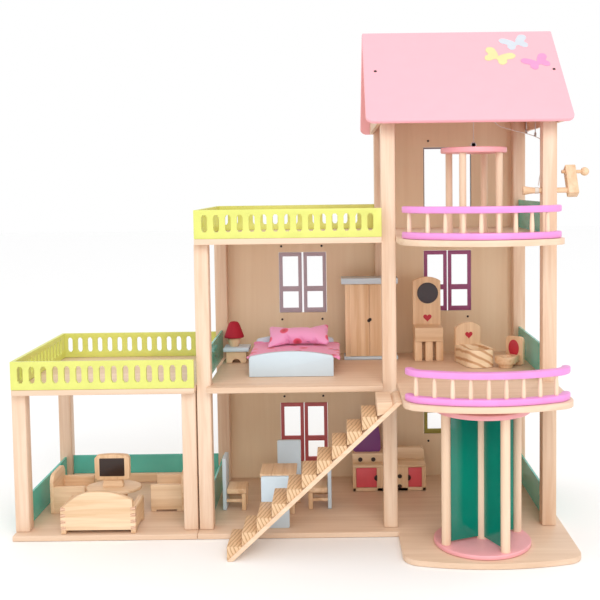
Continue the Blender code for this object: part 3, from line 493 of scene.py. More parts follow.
def butterfly(size):
    """A plain butterfly outline: two rounded upper wings and two smaller lower ones."""
    wing = ((0.0, 0.16), (0.22, 0.50), (0.62, 0.86), (0.98, 0.74), (0.96, 0.36), (0.66, 0.06), (0.76, -0.24),
            (0.62, -0.58), (0.34, -0.56), (0.12, -0.26), (0.0, -0.20))
    right = [(p.x * size, p.y * size) for p in smooth_through([(x, y, 0) for x, y in wing], 4)]
    return right + [(-x, y) for x, y in reversed(right[1:-1])]


def turned_spindle(piece, material, x, y, low, high):
    tall = high - low
    shape = ((0.0, 0.0028), (0.10, 0.0030), (0.30, 0.0031), (0.55, 0.0029), (0.80, 0.0025), (1.0, 0.0023))
    piece.turned(material, [(low + tall * t, r) for t, r in shape], (x, y, 0), sides=16)


def bulged_front(left, right, front, corners, sag):
    level = front + sag
    near, far = corners
    points = arc(left + near, level + near, near, 180, 255, 6)
    last = arc(right - far, level + far, far, 285, 360, 6)
    return points + bowed(points[-1], last[0], sag, 10)[1:-1] + last


def band(path, half):
    left, right = [], []
    for k, (x, y) in enumerate(path):
        (xa, ya), (xb, yb) = path[max(k - 1, 0)], path[min(k + 1, len(path) - 1)]
        long = hypot(xb - xa, yb - ya)
        nx, ny = -(yb - ya) / long, (xb - xa) / long
        left.append((x + nx * half, y + ny * half))
        right.append((x - nx * half, y - ny * half))
    back = atan2(path[0][1] - path[1][1], path[0][0] - path[1][0]) * 180 / pi
    ahead = atan2(path[-1][1] - path[-2][1], path[-1][0] - path[-2][0]) * 180 / pi
    loop = right + arc(*path[-1], half, ahead - 90, ahead + 90)[1:-1]
    return loop + left[::-1] + arc(*path[0], half, back - 90, back + 90)[1:-1]


def point_at(path, x):
    """The point of a path that runs towards +X where it passes x."""
    for (xa, ya), (xb, yb) in zip(path, path[1:]):
        if xa <= x <= xb and xb > xa:
            return x, ya + (yb - ya) * (x - xa) / (xb - xa)


def build_railings():
    inset, half, thick, tall = 0.0080, 0.0058, 0.0088, 0.0430
    for node, floor, right, front, corners, sag, first, last in (
        ("railing_first", FIRST_TOP, 0.250, -0.272, (0.028, 0.028), 0.017, 0.0448, 0.2241),
        ("railing_second", SECOND_TOP, 0.244, -0.250, (0.055, 0.030), 0.018, 0.0411, 0.2176),
    ):
        path = bulged_front(0.0285 + inset, right - inset, front + inset, corners, sag)[1:-1]
        low = floor + GAP
        rings = Piece(node + "_rings")
        rings.board(LILAC, [band(path, half)], low, low + thick, 0.0018)
        rings.board(LILAC, [band(path, half)], low + tall - thick, low + tall, 0.0018)
        rings.done(replaces=node)
        spindles = Piece(node + "_spindles")
        for k in range(9):
            x, y = point_at(path, first + (last - first) * k / 8)
            turned_spindle(spindles, TURNED, x, y, low + thick - 0.0005, low + tall - thick + 0.0005)
        spindles.done()


def build_stair():
    stair = Piece("stair_board_and_blocks")
    first, run, rise, lowest = -0.2070, 0.02025, 0.01925, 0.0193
    low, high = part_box("stair")
    foot, right, top = -0.1988, 0.0280, high.z
    slope = (top - 0.0012) / (right - foot)
    # the inclined board: a strip under the blocks, a little proud of them at the front
    stair.board(STAIR_X, [[(foot, 0.0), (right, top - 0.0012), (right, top), (right - 0.0075, top - 0.0002),
                           (foot - 0.0078, 0.0006), (foot - 0.0070, 0.0)]], low.y, high.y, 0.0006, "XZ")
    for k in range(11):
        left, tread = first + k * run, lowest + k * rise
        end = left + run - 0.0002
        loop = [(left, max(tread - rise + 0.0006, 0.0008)), (end, max((end - foot) * slope + 0.0010, 0.0)),
                (end, tread), (left, tread)]
        stair.board(STRIPED if k < 10 else STAIR_X, [loop], low.y + 0.0022, high.y - 0.002, 0.0008, "XZ")
    stair.done(replaces="stair")


def build_windows():
    for room, colour in (("bedroom", MAUVE), ("dining", ROSE), ("bathroom", PLUM)):
        for side in ("left", "right"):
            node = "shutter_" + room + "_" + side
            Piece(node + "_eased").copied(colour, node, 0.0005).done("leaf_" + room + "_" + side, node)
    Piece("window_kitchen_eased").copied(OLIVE, "window_kitchen", 0.0005).done(replaces="window_kitchen")
    x, low, half, high = 0.1290, 0.4575, 0.0395, 0.101
    edge = Piece("attic_window_lining")
    outer = rectangle(x - half + 0.0003, low + 0.0003, x + half - 0.0003, low + high - 0.0003)
    inner = rectangle(x - half + 0.0016, low + 0.0016, x + half - 0.0016, low + high - 0.0028)
    edge.board(GREY, [outer, inner], 0.1206, 0.1246, 0.0002, "XZ")
    edge.done()
    dots = Piece("wall_screws")
    for x, z in ((-0.1475, 0.398), (-0.0805, 0.398), (-0.1475, 0.276), (-0.0805, 0.276), (-0.146, 0.1460),
                 (-0.081, 0.1460), (0.0975, 0.569), (0.162, 0.277), (0.095, 0.067)):
        dots.turned(DARK, [(0, 0.0018), (0.0008, 0.0018), (0.0011, 0.0012), (0.0011, 0)], (x, 0.1201, z),
                    (0, -1, 0), 16)
    dots.done()


# ---------------------------------------------------------------- revolving door, lift and crank
def pillar(low, high, radius, ease_by=0.0006):
    return [(low, radius - ease_by), (low + ease_by, radius), (high - ease_by, radius), (high, radius - ease_by)]


def round_plate(low, high, radius, ease_by=0.0016):
    points = [(low, 0.0)]
    for k in range(5):
        t = radians(90 * k / 4)
        points.append((low + ease_by * (1 - cos(t)), radius - ease_by + ease_by * sin(t)))
    points += [(low + high - a, r) for a, r in reversed(points[1:])]
    return points + [(high, 0.0)]


def build_door():
    x, y = DOOR_X, DOOR_Y
    low, under, top = BASE_TOP + 0.0005, 0.1925, 0.1995
    door = Piece("revolving_door_frame")
    door.turned(PINK_DISC, round_plate(low, low + 0.006, 0.066), (x, y, 0), sides=72)
    door.turned(PINK_DISC, round_plate(under, top, 0.066), (x, y, 0), sides=72)
    door.turned(TURNED, pillar(low + 0.0055, under + 0.0005, 0.0075), (x, y, 0))
    door.turned(STEEL, pillar(top - 0.001, 0.2087, 0.003), (x, y, 0), sides=20)
    for k in range(4):
        turn = radians(23.5) + k * pi / 2
        at = (x + 0.0565 * cos(turn), y + 0.0565 * sin(turn), 0)
        door.turned(TURNED, pillar(low + 0.0055, under + 0.0005, 0.0063), at)
    door.done("revolving_door", "door_turntable")
    finish_node("door_panels", TEAL)


def build_lift():
    x, y = LIFT_X, LIFT_Y
    low, roof = 0.4185, 0.542
    lift = Piece("lift_cage_frame")
    lift.turned(PINK_DISC, round_plate(low, low + 0.0075, 0.0470), (x, y, 0), sides=64)
    lift.turned(PINK_DISC, round_plate(roof, roof + 0.008, 0.0474), (x, y, 0), sides=64)
    for k in range(4):
        turn = radians(-31.5) + k * pi / 2
        at = (x + 0.039 * cos(turn), y + 0.039 * sin(turn), 0)
        lift.turned(TURNED, pillar(low + 0.007, roof + 0.0005, 0.005), at)
    lift.turned(STEEL, [(roof + 0.0078, 0.0022), (roof + 0.0085, 0.0022), (roof + 0.0088, 0.0013), (0.5515, 0.0013)],
                (x, y, 0), sides=16)
    lift.turned(STEEL, hoop(0.0035, 0.0009), (x, y, 0.5540), (0, 1, 0), 28)
    lift.done("lift", "lift_cage")

    eyes = Piece("roof_cord_eyes")
    for ex, ey, ez in ((LIFT_X, LIFT_Y, 0.6440), (0.2170, -0.0905, 0.5713), (0.2290, -0.0935, 0.5668)):
        eyes.turned(STEEL, hoop(0.0028, 0.0007), (ex, ey, ez), (1, 0.2, 0), 20)
        roof_under = RIDGE_Z - ROOF_DROP - ROOF_FALL * abs(ey)
        eyes.turned(STEEL, [(ez + 0.0026, 0.0008), (roof_under - 0.0003, 0.0008)], (ex, ey, 0), sides=12)
    eyes.done()


def hoop(major, minor, steps=12):
    """The closed profile of a ring, as (height, radius) pairs."""
    return [(minor * sin(2 * pi * k / steps), major + minor * cos(2 * pi * k / steps)) for k in range(steps + 1)]


def twine(name, points):
    """A round cord along a route."""
    curve = bpy.data.curves.new(name, "CURVE")
    curve.dimensions = "3D"
    curve.bevel_depth = CORD_RADIUS
    curve.bevel_resolution = 2
    curve.use_fill_caps = True
    add_path(curve, points, False)
    solid = solid_of(curve)
    solid.materials.clear()
    solid.materials.append(TWINE)
    solid.shade_smooth()
    return linked(name, solid)


def smooth_through(route, steps=6):
    route = [Vector(p) for p in route]
    points = []
    ends = [2 * route[0] - route[1]] + route + [2 * route[-1] - route[-2]]
    for a, b, c, d in zip(ends, ends[1:], ends[2:], ends[3:]):
        for k in range(steps):
            t = k / steps
            points.append(0.5 * ((2 * b) + (c - a) * t + (2 * a - 5 * b + 4 * c - d) * t * t
                                 + (3 * b - 3 * c + d - a) * t * t * t))
    return points + [route[-1]]


def build_cords():
    x, y, low, top = LIFT_X, LIFT_Y, 0.5587, 0.640
    drop = twine("hoisting_cord_drop", [(x, y, low + (top - low) * k / 24) for k in range(25)])
    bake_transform(drop)
    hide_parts("cord_drop")
    route = [
        (x, y, top + 0.0010), (x + 0.0004, y, top + 0.0040), (x + 0.0040, y - 0.0010, top + 0.0050),
        (x + 0.0100, y - 0.0025, top - 0.0010), (0.1645, -0.0785, 0.6060), (0.1760, -0.0815, 0.5830),
        (0.1969, -0.0855, 0.5742), (0.2170, -0.0905, 0.5683), (0.2290, -0.0935, 0.5638),
        (0.2365, -0.0950, 0.5590), (0.2385, -0.0955, 0.5480), (0.2370, -0.0960, 0.5200),
        (0.2335, -0.0985, 0.5020), (0.2308, -0.1055, 0.4945),
    ]
    run = twine("hoisting_cord_run", smooth_through(route))
    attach(run, "house")
    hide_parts("cord_run")


def build_crank():
    y, z = -0.110, 0.4875
    lean = radians(30)
    crank = Piece("crank_and_spool")
    spool = [(0.0, 0.0055), (0.0008, 0.0063), (0.0024, 0.0064), (0.0050, 0.0058), (0.0100, 0.0048), (0.0160, 0.0042),
             (0.0240, 0.0037), (0.0250, 0.0036)]
    crank.turned(AXLE, spool, (0.2075, y, z), (1, 0, 0), 24)
    crank.turned(TWINE, [(0.0, 0.0040), (0.0004, 0.0046), (0.0056, 0.0044), (0.0060, 0.0038)], (0.2245, y, z),
                 (1, 0, 0), 20)
    crank.turned(AXLE, [(0.0, 0.0038), (0.0440, 0.0038)], (0.2280, y, z), (1, 0, 0), 24)
    at = move(0, y, z) @ Matrix.Rotation(-lean, 4, "X")
    crank.block(CRANK, (0.2705, -0.007, -0.008), (0.2855, 0.007, 0.038), 0.0014, at)
    crank.turned(AXLE, [(0.0, 0.0030), (0.0002, 0.0033), (0.0003, 0.0)], (0.2855, y, z), (1, 0, 0), 20)
    py, pz = y + 0.030 * sin(lean), z + 0.030 * cos(lean)
    crank.turned(AXLE, [(0.0, 0.0022), (0.0006, 0.0026), (0.0290, 0.0026)], (0.2660, py, pz), (1, 0, 0), 20)
    ball = [(0.0062 - 0.0062 * cos(radians(15 * k)), 0.0062 * sin(radians(15 * k))) for k in range(13)]
    crank.turned(AXLE, [(h, max(r, 0.0)) if 0 < k < 12 else (h, 0.0) for k, (h, r) in enumerate(ball)],
                 (0.2928, py, pz), (1, 0, 0), 24)
    crank.done("crank_handle", "crank")


# ---------------------------------------------------------------- bedroom
def cloth(obj, frames, pressure=0.0, gravity=1.0, colliders=(), quality=8, stiff=6.0, shrink=0.0):
    """Runs Blender's cloth on an object at ten times its size, which suits the solver, and keeps the result."""
    scene = bpy.context.scene
    grow = Matrix.Scale(10, 4)
    for each in (obj, *colliders):
        each.data.transform(grow)
    for each in colliders:
        each.modifiers.new("collision", "COLLISION")
        each.collision.thickness_outer = 0.004
        each.collision.cloth_friction = 12
    step = obj.modifiers.new("cloth", "CLOTH")
    settings = step.settings
    settings.quality = quality
    settings.mass = 0.25
    settings.tension_stiffness = settings.compression_stiffness = 18
    settings.shear_stiffness = 8
    settings.bending_stiffness = stiff
    settings.shrink_min = shrink
    settings.use_pressure = pressure > 0
    settings.uniform_pressure_force = pressure
    settings.effector_weights.gravity = gravity
    step.collision_settings.distance_min = 0.004
    step.collision_settings.use_self_collision = pressure == 0
    step.collision_settings.self_distance_min = 0.006
    step.point_cache.frame_start = 1
    step.point_cache.frame_end = frames + 1
    for number in range(1, frames + 1):
        scene.frame_set(number)
    shape = bpy.data.meshes.new_from_object(obj.evaluated_get(bpy.context.evaluated_depsgraph_get()))
    obj.modifiers.clear()
    scene.frame_set(1)
    obj.data = shape
    shape.transform(Matrix.Scale(0.1, 4))
    for each in colliders:
        bpy.data.objects.remove(each)


def grid(name, wide, deep, columns, rows, height):
    form = bmesh.new()
    bmesh.ops.create_grid(form, x_segments=columns, y_segments=rows, size=0.5)
    form.transform(Matrix.Diagonal((wide, deep, 1, 1)))
    for vert in form.verts:
        vert.co.z = height(vert.co.x, vert.co.y)
    mesh = bpy.data.meshes.new(name)
    form.to_mesh(mesh)
    form.free()
    return mesh


def footboard(x0, x1, low, shoulder, crown):
    """A bed board: square at the foot, rounded at the shoulders, arched along the top."""
    top = bowed((x1 - 0.006, shoulder + 0.0022), (x0 + 0.006, shoulder + 0.0022), crown - shoulder - 0.0022, 14)
    return [(x0, low), (x1, low)] + arc(x1 - 0.005, shoulder - 0.003, 0.005, 0, 70, 4) + top + arc(
        x0 + 0.005, shoulder - 0.003, 0.005, 110, 180, 4)


def build_bed():
    low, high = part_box("bed")
    floor = low.z
    left, right = low.x, high.x
    bed = Piece("bed_frame")
    bed.board(ICE, [footboard(left, right, floor, floor + 0.0292, floor + 0.0375)], low.y, low.y + 0.008, 0.0012, "XZ")
    bed.board(ICE, [footboard(left, right, floor, floor + 0.0335, floor + 0.0415)], high.y - 0.008, high.y, 0.0012,
              "XZ")
    bed.block(FURN_Y, (left + 0.003, low.y + 0.0078, floor + 0.008),
              (right - 0.003, high.y - 0.0078, floor + 0.0165), 0.0006)
    bed.done(replaces="bed")

    # the quilt: a cut sheet dropped over the mattress, rumpled by its own slack
    a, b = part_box("bedding")
    centre = Vector(((a.x + b.x) / 2, (a.y + b.y) / 2, 0))
    wide, deep = b.x - a.x, b.y - a.y - 0.001
    blocks = [solid_block("mattress", (a.x + 0.0010, a.y + 0.0006, a.z - 0.004),
                          (b.x - 0.0010, b.y - 0.0006, a.z + 0.0105)),
              solid_block("foot", (left, low.y, floor), (right, low.y + 0.0078, floor + 0.0345)),
              solid_block("head", (left, high.y - 0.0078, floor), (right, high.y, floor + 0.0385))]

    def rumple(x, y):
        return 0.0010 * noise.noise(Vector((x * 55, y * 55, 2.0))) + 0.0006 * noise.noise(Vector((x * 140, y * 120, 7)))

    sheet = linked("quilt", grid("quilt", wide, deep, 92, 82, rumple))
    sheet.data.transform(Matrix.Translation(centre + Vector((0, 0, a.z + 0.0122))))
    cloth(sheet, 26, colliders=blocks, stiff=0.8, shrink=-0.07)
    settle(sheet, a, b, 0.003)
    sheet.data.materials.clear()
    sheet.data.materials.append(BEDDING)
    sheet.data.shade_smooth()
    hem = sheet.modifiers.new("thickness", "SOLIDIFY")
    hem.thickness = 0.0006
    hem.offset = 0
    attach(sheet, "house")
    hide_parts("bedding")

    # the pillow: two panels sewn round the edge and blown up
    a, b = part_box("pillow")
    wide, deep = 0.112, 0.053
    form = bmesh.new()
    bmesh.ops.create_grid(form, x_segments=58, y_segments=25, size=0.5)
    form.transform(Matrix.Diagonal((wide, deep, 1, 1)))
    upper = list(form.verts)
    copy = bmesh.ops.duplicate(form, geom=form.verts[:] + form.edges[:] + form.faces[:])
    lower = [g for g in copy["geom"] if isinstance(g, bmesh.types.BMVert)]
    for vert in upper:
        vert.co.z += 0.0006 + 0.0004 * noise.noise(Vector((vert.co.x * 120, vert.co.y * 120, 1)))
    for vert in lower:
        vert.co.z -= 0.0006
    edge = [v for v in form.verts if v.is_boundary]
    for vert in edge:
        vert.co.z = 0
    bmesh.ops.remove_doubles(form, verts=edge, dist=0.0001)
    bmesh.ops.recalc_face_normals(form, faces=form.faces)
    mesh = bpy.data.meshes.new("pillow_cover")
    form.to_mesh(mesh)
    form.free()
    pillow = linked("pillow_cover", mesh)
    cloth(pillow, 22, pressure=3.0, gravity=0.0, stiff=0.3, shrink=0.0)
    size = pillow.data
    zs = [v.co.z for v in size.vertices]
    size.transform(Matrix.Diagonal((0.955, 1, min(0.0235 / max(max(zs) - min(zs), 0.001), 9.0), 1)))
    size.transform(move((a.x + b.x) / 2 - 0.0025, (a.y + b.y) / 2 - 0.003, (a.z + b.z) / 2 - 0.0022)
                   @ rotate(32, "X") @ rotate(-2, "Y"))
    size.materials.clear()
    size.materials.append(PILLOW)
    size.shade_smooth()
    rounding = pillow.modifiers.new("smooth", "SUBSURF")
    rounding.levels = rounding.render_levels = 1
    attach(pillow, "house")
    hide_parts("pillow")


def solid_block(name, low, high):
    """A plain block for the cloth to land on; it is removed afterwards."""
    form = bmesh.new()
    bmesh.ops.create_cube(form, size=1)
    form.transform(Matrix.Translation([(p + q) / 2 for p, q in zip(low, high)])
                   @ Matrix.Diagonal((*[q - p for p, q in zip(low, high)], 1)))
    ease(form, 0.0015)
    mesh = bpy.data.meshes.new(name)
    form.to_mesh(mesh)
    form.free()
    return linked(name, mesh)


def settle(obj, low, high, proud):
    """Keeps a simulated sheet within the space of its CAD solid, a little proud at most."""
    for vert in obj.data.vertices:
        vert.co.x = min(max(vert.co.x, low.x - proud), high.x + proud)
        vert.co.y = min(max(vert.co.y, low.y + 0.0004), high.y + 0.0002)
        vert.co.z = min(max(vert.co.z, low.z + 0.0004), high.z + 0.0045)


def build_bedside():
    low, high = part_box("bedside_table")
    left, right, front, back = low.x, high.x, low.y, high.y
    floor, top = low.z, low.z + 0.0245
    table = Piece("bedside_table_body")
    table.block(ICE, (left, front, top - 0.0060), (right, back, top), 0.0012)
    x = (left + right) / 2
    arch = [(left + 0.0045, floor), (x - 0.0068, floor)] + arc(x, floor, 0.0068, 180, 0, 12)[1:-1]
    arch += [(x + 0.0068, floor), (right - 0.0045, floor), (right - 0.0045, top - 0.0058),
             (left + 0.0045, top - 0.0058)]
    table.board(FURN_X, [arch], front + 0.003, back - 0.003, 0.0007, "XZ")
    table.done(replaces="bedside_table")
    lamp = Piece("bedside_lamp")
    lx, ly = -0.2220, 0.062
    lamp.turned(FURN_Z, [(0, 0.0066), (0.0006, 0.0072), (0.005, 0.0086), (0.011, 0.0104), (0.0132, 0.0108),
                         (0.0142, 0.0100), (0.0160, 0.0060)], (lx, ly, top), sides=28)
    shade = [(0.0150, 0.0), (0.0148, 0.0140), (0.0146, 0.0153), (0.0156, 0.0157), (0.0172, 0.0155), (0.0240, 0.0132),
             (0.0320, 0.0104), (0.0365, 0.0086), (0.0392, 0.0062), (0.0402, 0.0030), (0.0404, 0.0)]
    lamp.turned(CRIMSON, shade, (lx, ly, top), sides=36)
    lamp.done()


def build_wardrobe():
    low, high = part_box("wardrobe")
    left, right, front, back = low.x, high.x, low.y, high.y
    floor = low.z
    body = Piece("wardrobe_body")
    body.block(FURN_Z, (left + 0.0060, front + 0.0040, floor + 0.0030), (right - 0.0035, back, floor + 0.1230), 0.0008)
    body.block(ICE, (left + 0.0035, front + 0.0006, floor), (right - 0.0005, back, floor + 0.0050), 0.0010)
    body.block(ICE, (left, front, floor + 0.1222), (right, back, floor + 0.1320), 0.0016)
    for a, b in ((left + 0.0135, left + 0.0445), (left + 0.0451, right - 0.0125)):
        body.block(FURN_Z, (a, front + 0.0022, floor + 0.0056), (b, front + 0.0044, floor + 0.1216), 0.0007)
    x = left + 0.0448
    for side in (-1, 1):
        body.turned(DARK, [(0, 0.0026), (0.0010, 0.0026), (0.0014, 0.0020), (0.0014, 0)],
                    (x + side * 0.0009, front + 0.0024, floor + 0.0640 + 0.0009 * side), (0, -1, 0), 18)
    body.done(replaces="wardrobe")


# ---------------------------------------------------------------- dining room and kitchen
def chair(name, matrix, replaces=(), panel=0.0370, back_high=0.0800):
    """A block chair about its foot's middle: the board behind at -Y, the seat and the legs towards +Y."""
    made = Piece(name)
    half = 0.0200
    made.board(ICE, [rounded(-panel / 2, 0.0, panel / 2, back_high, 0.0020, 3)], -0.0055, 0.0, 0.0008, "XZ",
               matrix @ move(0, -0.0, 0))
    made.block(FURN_Y, (-half + 0.001, 0.0002, 0.0250), (half - 0.001, 0.0305, 0.0335), 0.0026, matrix)
    for side in (-1, 1):
        made.block(FURN_Z, (side * 0.0148 - 0.0035, 0.0230, 0.0),
                   (side * 0.0148 + 0.0035, 0.0295, 0.0252), 0.0006, matrix)
        made.block(FURN_Y, (side * 0.0148 - 0.0025, 0.0002, 0.0125),
                   (side * 0.0148 + 0.0025, 0.0235, 0.0165), 0.0005, matrix)
    return made.done(replaces=replaces)


def at_foot(x, y, z, turn):
    return move(x, y, z) @ rotate(turn, "Z")


def build_dining():
    floor = BASE_TOP + GAP
    low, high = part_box("dining_table")
    table = Piece("dining_table_top_and_legs")
    for k in range(3):
        wide = (high.x - low.x) / 3
        table.block(FURN_Y, (low.x + k * wide, low.y, high.z - 0.0060),
                    (low.x + (k + 1) * wide - 0.0001, high.y, high.z), 0.0006)
    for x in (low.x + 0.006, high.x - 0.006):
        for y in (low.y + 0.006, high.y - 0.006):
            table.block(FURN_Z, (x - 0.0035, y - 0.0035, floor), (x + 0.0035, y + 0.0035, high.z - 0.0058), 0.0006)
    table.done(replaces="dining_table")
    a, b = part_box("chair_left")
    chair("chair_left_detailed", at_foot(a.x + 0.0055, (a.y + b.y) / 2, floor, -90), "chair_left")
    a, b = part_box("chair_right")
    chair("chair_right_detailed", at_foot(b.x - 0.0055, (a.y + b.y) / 2, floor, 90), "chair_right")
    chair("chair_back", at_foot(-0.1345, 0.0200, floor, 180), back_high=0.0900)
    chair("chair_front", at_foot(-0.1480, -0.1110, floor, 0), panel=0.0400, back_high=0.0750)


def knob(piece, x, y, z, radius=0.0026, deep=0.0022):
    piece.turned(DARK, [(0, radius * 0.8), (deep * 0.5, radius), (deep, radius * 0.8), (deep, 0)], (x, y, z),
                 (0, -1, 0), 18)


def build_kitchen():
    low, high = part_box("kitchen_counter")
    floor = low.z
    left, right, front, back = low.x, high.x, low.y, high.y
    middle = left + 0.0591
    unit = Piece("kitchen_units")
    for a, b, doors in ((left, middle - 0.0004, (0.0052, 0.0385)), (middle, right, (0.0295, 0.0517))):
        unit.block(FURN_X, (a + 0.0004, front + 0.0020, floor), (b - 0.0004, back, floor + 0.0385), 0.0006)
        unit.block(FURN_X, (a, front, floor + 0.0380), (b, back, floor + 0.0420), 0.0010)
        for x0, x1 in ((a, a + doors[0]), (a + doors[1], b)):
            unit.block(FURN_Z, (x0, front, floor), (x1, front + 0.0030, floor + 0.0382), 0.0007)
        unit.block(FURN_X, (a, front, floor), (b, front + 0.0030, floor + 0.0055), 0.0007)
        unit.block(CORAL, (a + doors[0] + 0.0003, front + 0.0002, floor + 0.0060),
                   (a + doors[1] - 0.0003, front + 0.0026, floor + 0.0376), 0.0009)
    unit.block(FURN_X, (left, front + 0.0150, floor + 0.0415), (middle - 0.0004, back, floor + 0.0570), 0.0010)
    outline = [(middle, floor + 0.0415), (right, floor + 0.0415), (right, floor + 0.0520)]
    outline += arc(right - 0.0085, floor + 0.0520, 0.0085, 0, 90, 6)[1:] + [(middle, floor + 0.0605)]
    unit.board(FURN_X, [outline], back - 0.0100, back, 0.0010, "XZ")
    for x in (left + 0.0125, left + 0.0335):
        knob(unit, x, front + 0.0150, floor + 0.0475, 0.0036)
    for z in (0.0240, 0.0075):
        knob(unit, middle + 0.0160, front + 0.0004, floor + z, 0.0034)
    unit.board(DARK, [arc(left + 0.0388, floor + 0.0215, 0.0046, 90, 270, 10)], front - 0.0012, front + 0.0006, 0.0003,
               "XZ")
    unit.board(DARK, [arc(middle + 0.0292, floor + 0.0215, 0.0046, -90, 90, 10)], front - 0.0012, front + 0.0006,
               0.0003, "XZ")
    unit.done(replaces="kitchen_counter")
    hood = Piece("kitchen_hood")
    outline = [(left + 0.0012, floor + 0.0975), (left + 0.0012, floor + 0.0590), (left + 0.0050, floor + 0.0565)]
    outline += arc(0.0062, floor + 0.0620, 0.0058, 270, 360, 6) + [(0.0116, floor + 0.0800), (0.0090, floor + 0.0975)]
    hood.board(VIOLET, [outline], back - 0.0200, back - 0.0002, 0.0012, "XZ")
    hood.done()


# ---------------------------------------------------------------- bathroom
def heart(size):
    points = []
    for k in range(40):
        t = 2 * pi * k / 40
        points.append((size * 0.062 * 16 * sin(t) ** 3,
                       size * 0.062 * (13 * cos(t) - 5 * cos(2 * t) - 2 * cos(3 * t) - cos(4 * t))))
    return points


def build_bathroom():
    low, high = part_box("washstand")
    floor = low.z
    left, right = low.x, high.x
    x = (left + right) / 2
    stand = Piece("washstand_body")
    stand.board(FURN_Z, [arched(left, right, floor, floor + 0.1245, floor + 0.1310)], 0.0780, 0.0840, 0.0010, "XZ")
    stand.block(FURN_X, (left + 0.0003, 0.0400, floor + 0.0315), (right - 0.0003, 0.0785, floor + 0.0535), 0.0010)
    stand.block(FURN_X, (left + 0.0020, 0.0600, floor), (right - 0.0020, 0.0785, floor + 0.0318), 0.0006)
    for leg in (left + 0.0055, x, right - 0.0055):
        stand.block(FURN_Z, (leg - 0.0058, 0.0430, floor), (leg + 0.0058, 0.0785, floor + 0.0320), 0.0008)
    stand.turned(SMOKE, [(0, 0.0170), (0.0010, 0.0170), (0.0014, 0.0166), (0.0014, 0)],
                 (x + 0.0015, 0.0781, 0.3220), (0, -1, 0), 40)
    mark = move(x + 0.001, 0.0776, 0.2820)
    stand.board(RED, [heart(0.0068)], 0.0, 0.0004, 0, "XZ", mark)
    stand.done(replaces="washstand")

    tub = Piece("bathtub_body")
    spin = move(0.1510, 0.0400, 0) @ rotate(14, "Z")
    floor = FIRST_TOP + GAP
    def plan(half, near, corner, far):
        """The tub's plan: square at the headboard, bulging at the other end."""
        turn = (arc(-half + corner, near + corner, corner, 180, 262, 8)
                + arc(half - corner, near + corner, corner, 278, 360, 8))
        return turn + [(half, far), (-half, far)]

    outer, inner = plan(0.0215, -0.0630, 0.0170, 0.0), plan(0.0160, -0.0560, 0.0120, -0.0060)
    tub.board(TUB_WOOD, [outer, inner], floor + 0.0082, floor + 0.0270, 0.0012, "XY", spin)
    tub.board(TUB_WOOD, [outer], floor, floor + 0.0086, 0.0012, "XY", spin)
    head = [arched(-0.0210, 0.0210, floor, floor + 0.0535, floor + 0.0620)]
    tub.board(FURN_Z, head, -0.0010, 0.0060, 0.0010, "XZ", spin)
    tub.board(RED, [heart(0.0062)], -0.0014, -0.0009, 0, "XZ", spin @ move(0.001, 0, floor + 0.0420))
    tub.done(replaces="bathtub")

    seat = Piece("toilet_body")
    x, y = 0.2010, -0.0150
    seat.turned(FURN_Z, [(0, 0.0100), (0.0008, 0.0106), (0.0062, 0.0120), (0.0066, 0.0120)], (x, y, floor), sides=36)
    seat.turned(FURN_Y, [(0.0060, 0.0148), (0.0068, 0.0158), (0.0090, 0.0164), (0.0150, 0.0165), (0.0164, 0.0158),
                         (0.0170, 0.0146), (0.0170, 0.0096), (0.0150, 0.0086), (0.0115, 0.0078), (0.0115, 0.0)],
                (x, y, floor), sides=40)
    at = move(x, y, floor) @ rotate(-42, "Z")
    seat.block(FURN_Y, (-0.010, 0.0080, 0.0064), (0.010, 0.0250, 0.0165), 0.0010, at)
    seat.board(FURN_Z, [rounded(-0.0155, 0.0, 0.0155, 0.0443, 0.0062)], 0.0240, 0.0300, 0.0012, "XZ", at)
    oval = [(-0.0008 + 0.0092 * cos(t), 0.0262 + 0.0132 * sin(t)) for t in [2 * pi * k / 32 for k in range(32)]]
    seat.board(RED, [oval], 0.0235, 0.0242, 0.0003, "XZ", at)
    seat.done(replaces="toilet")


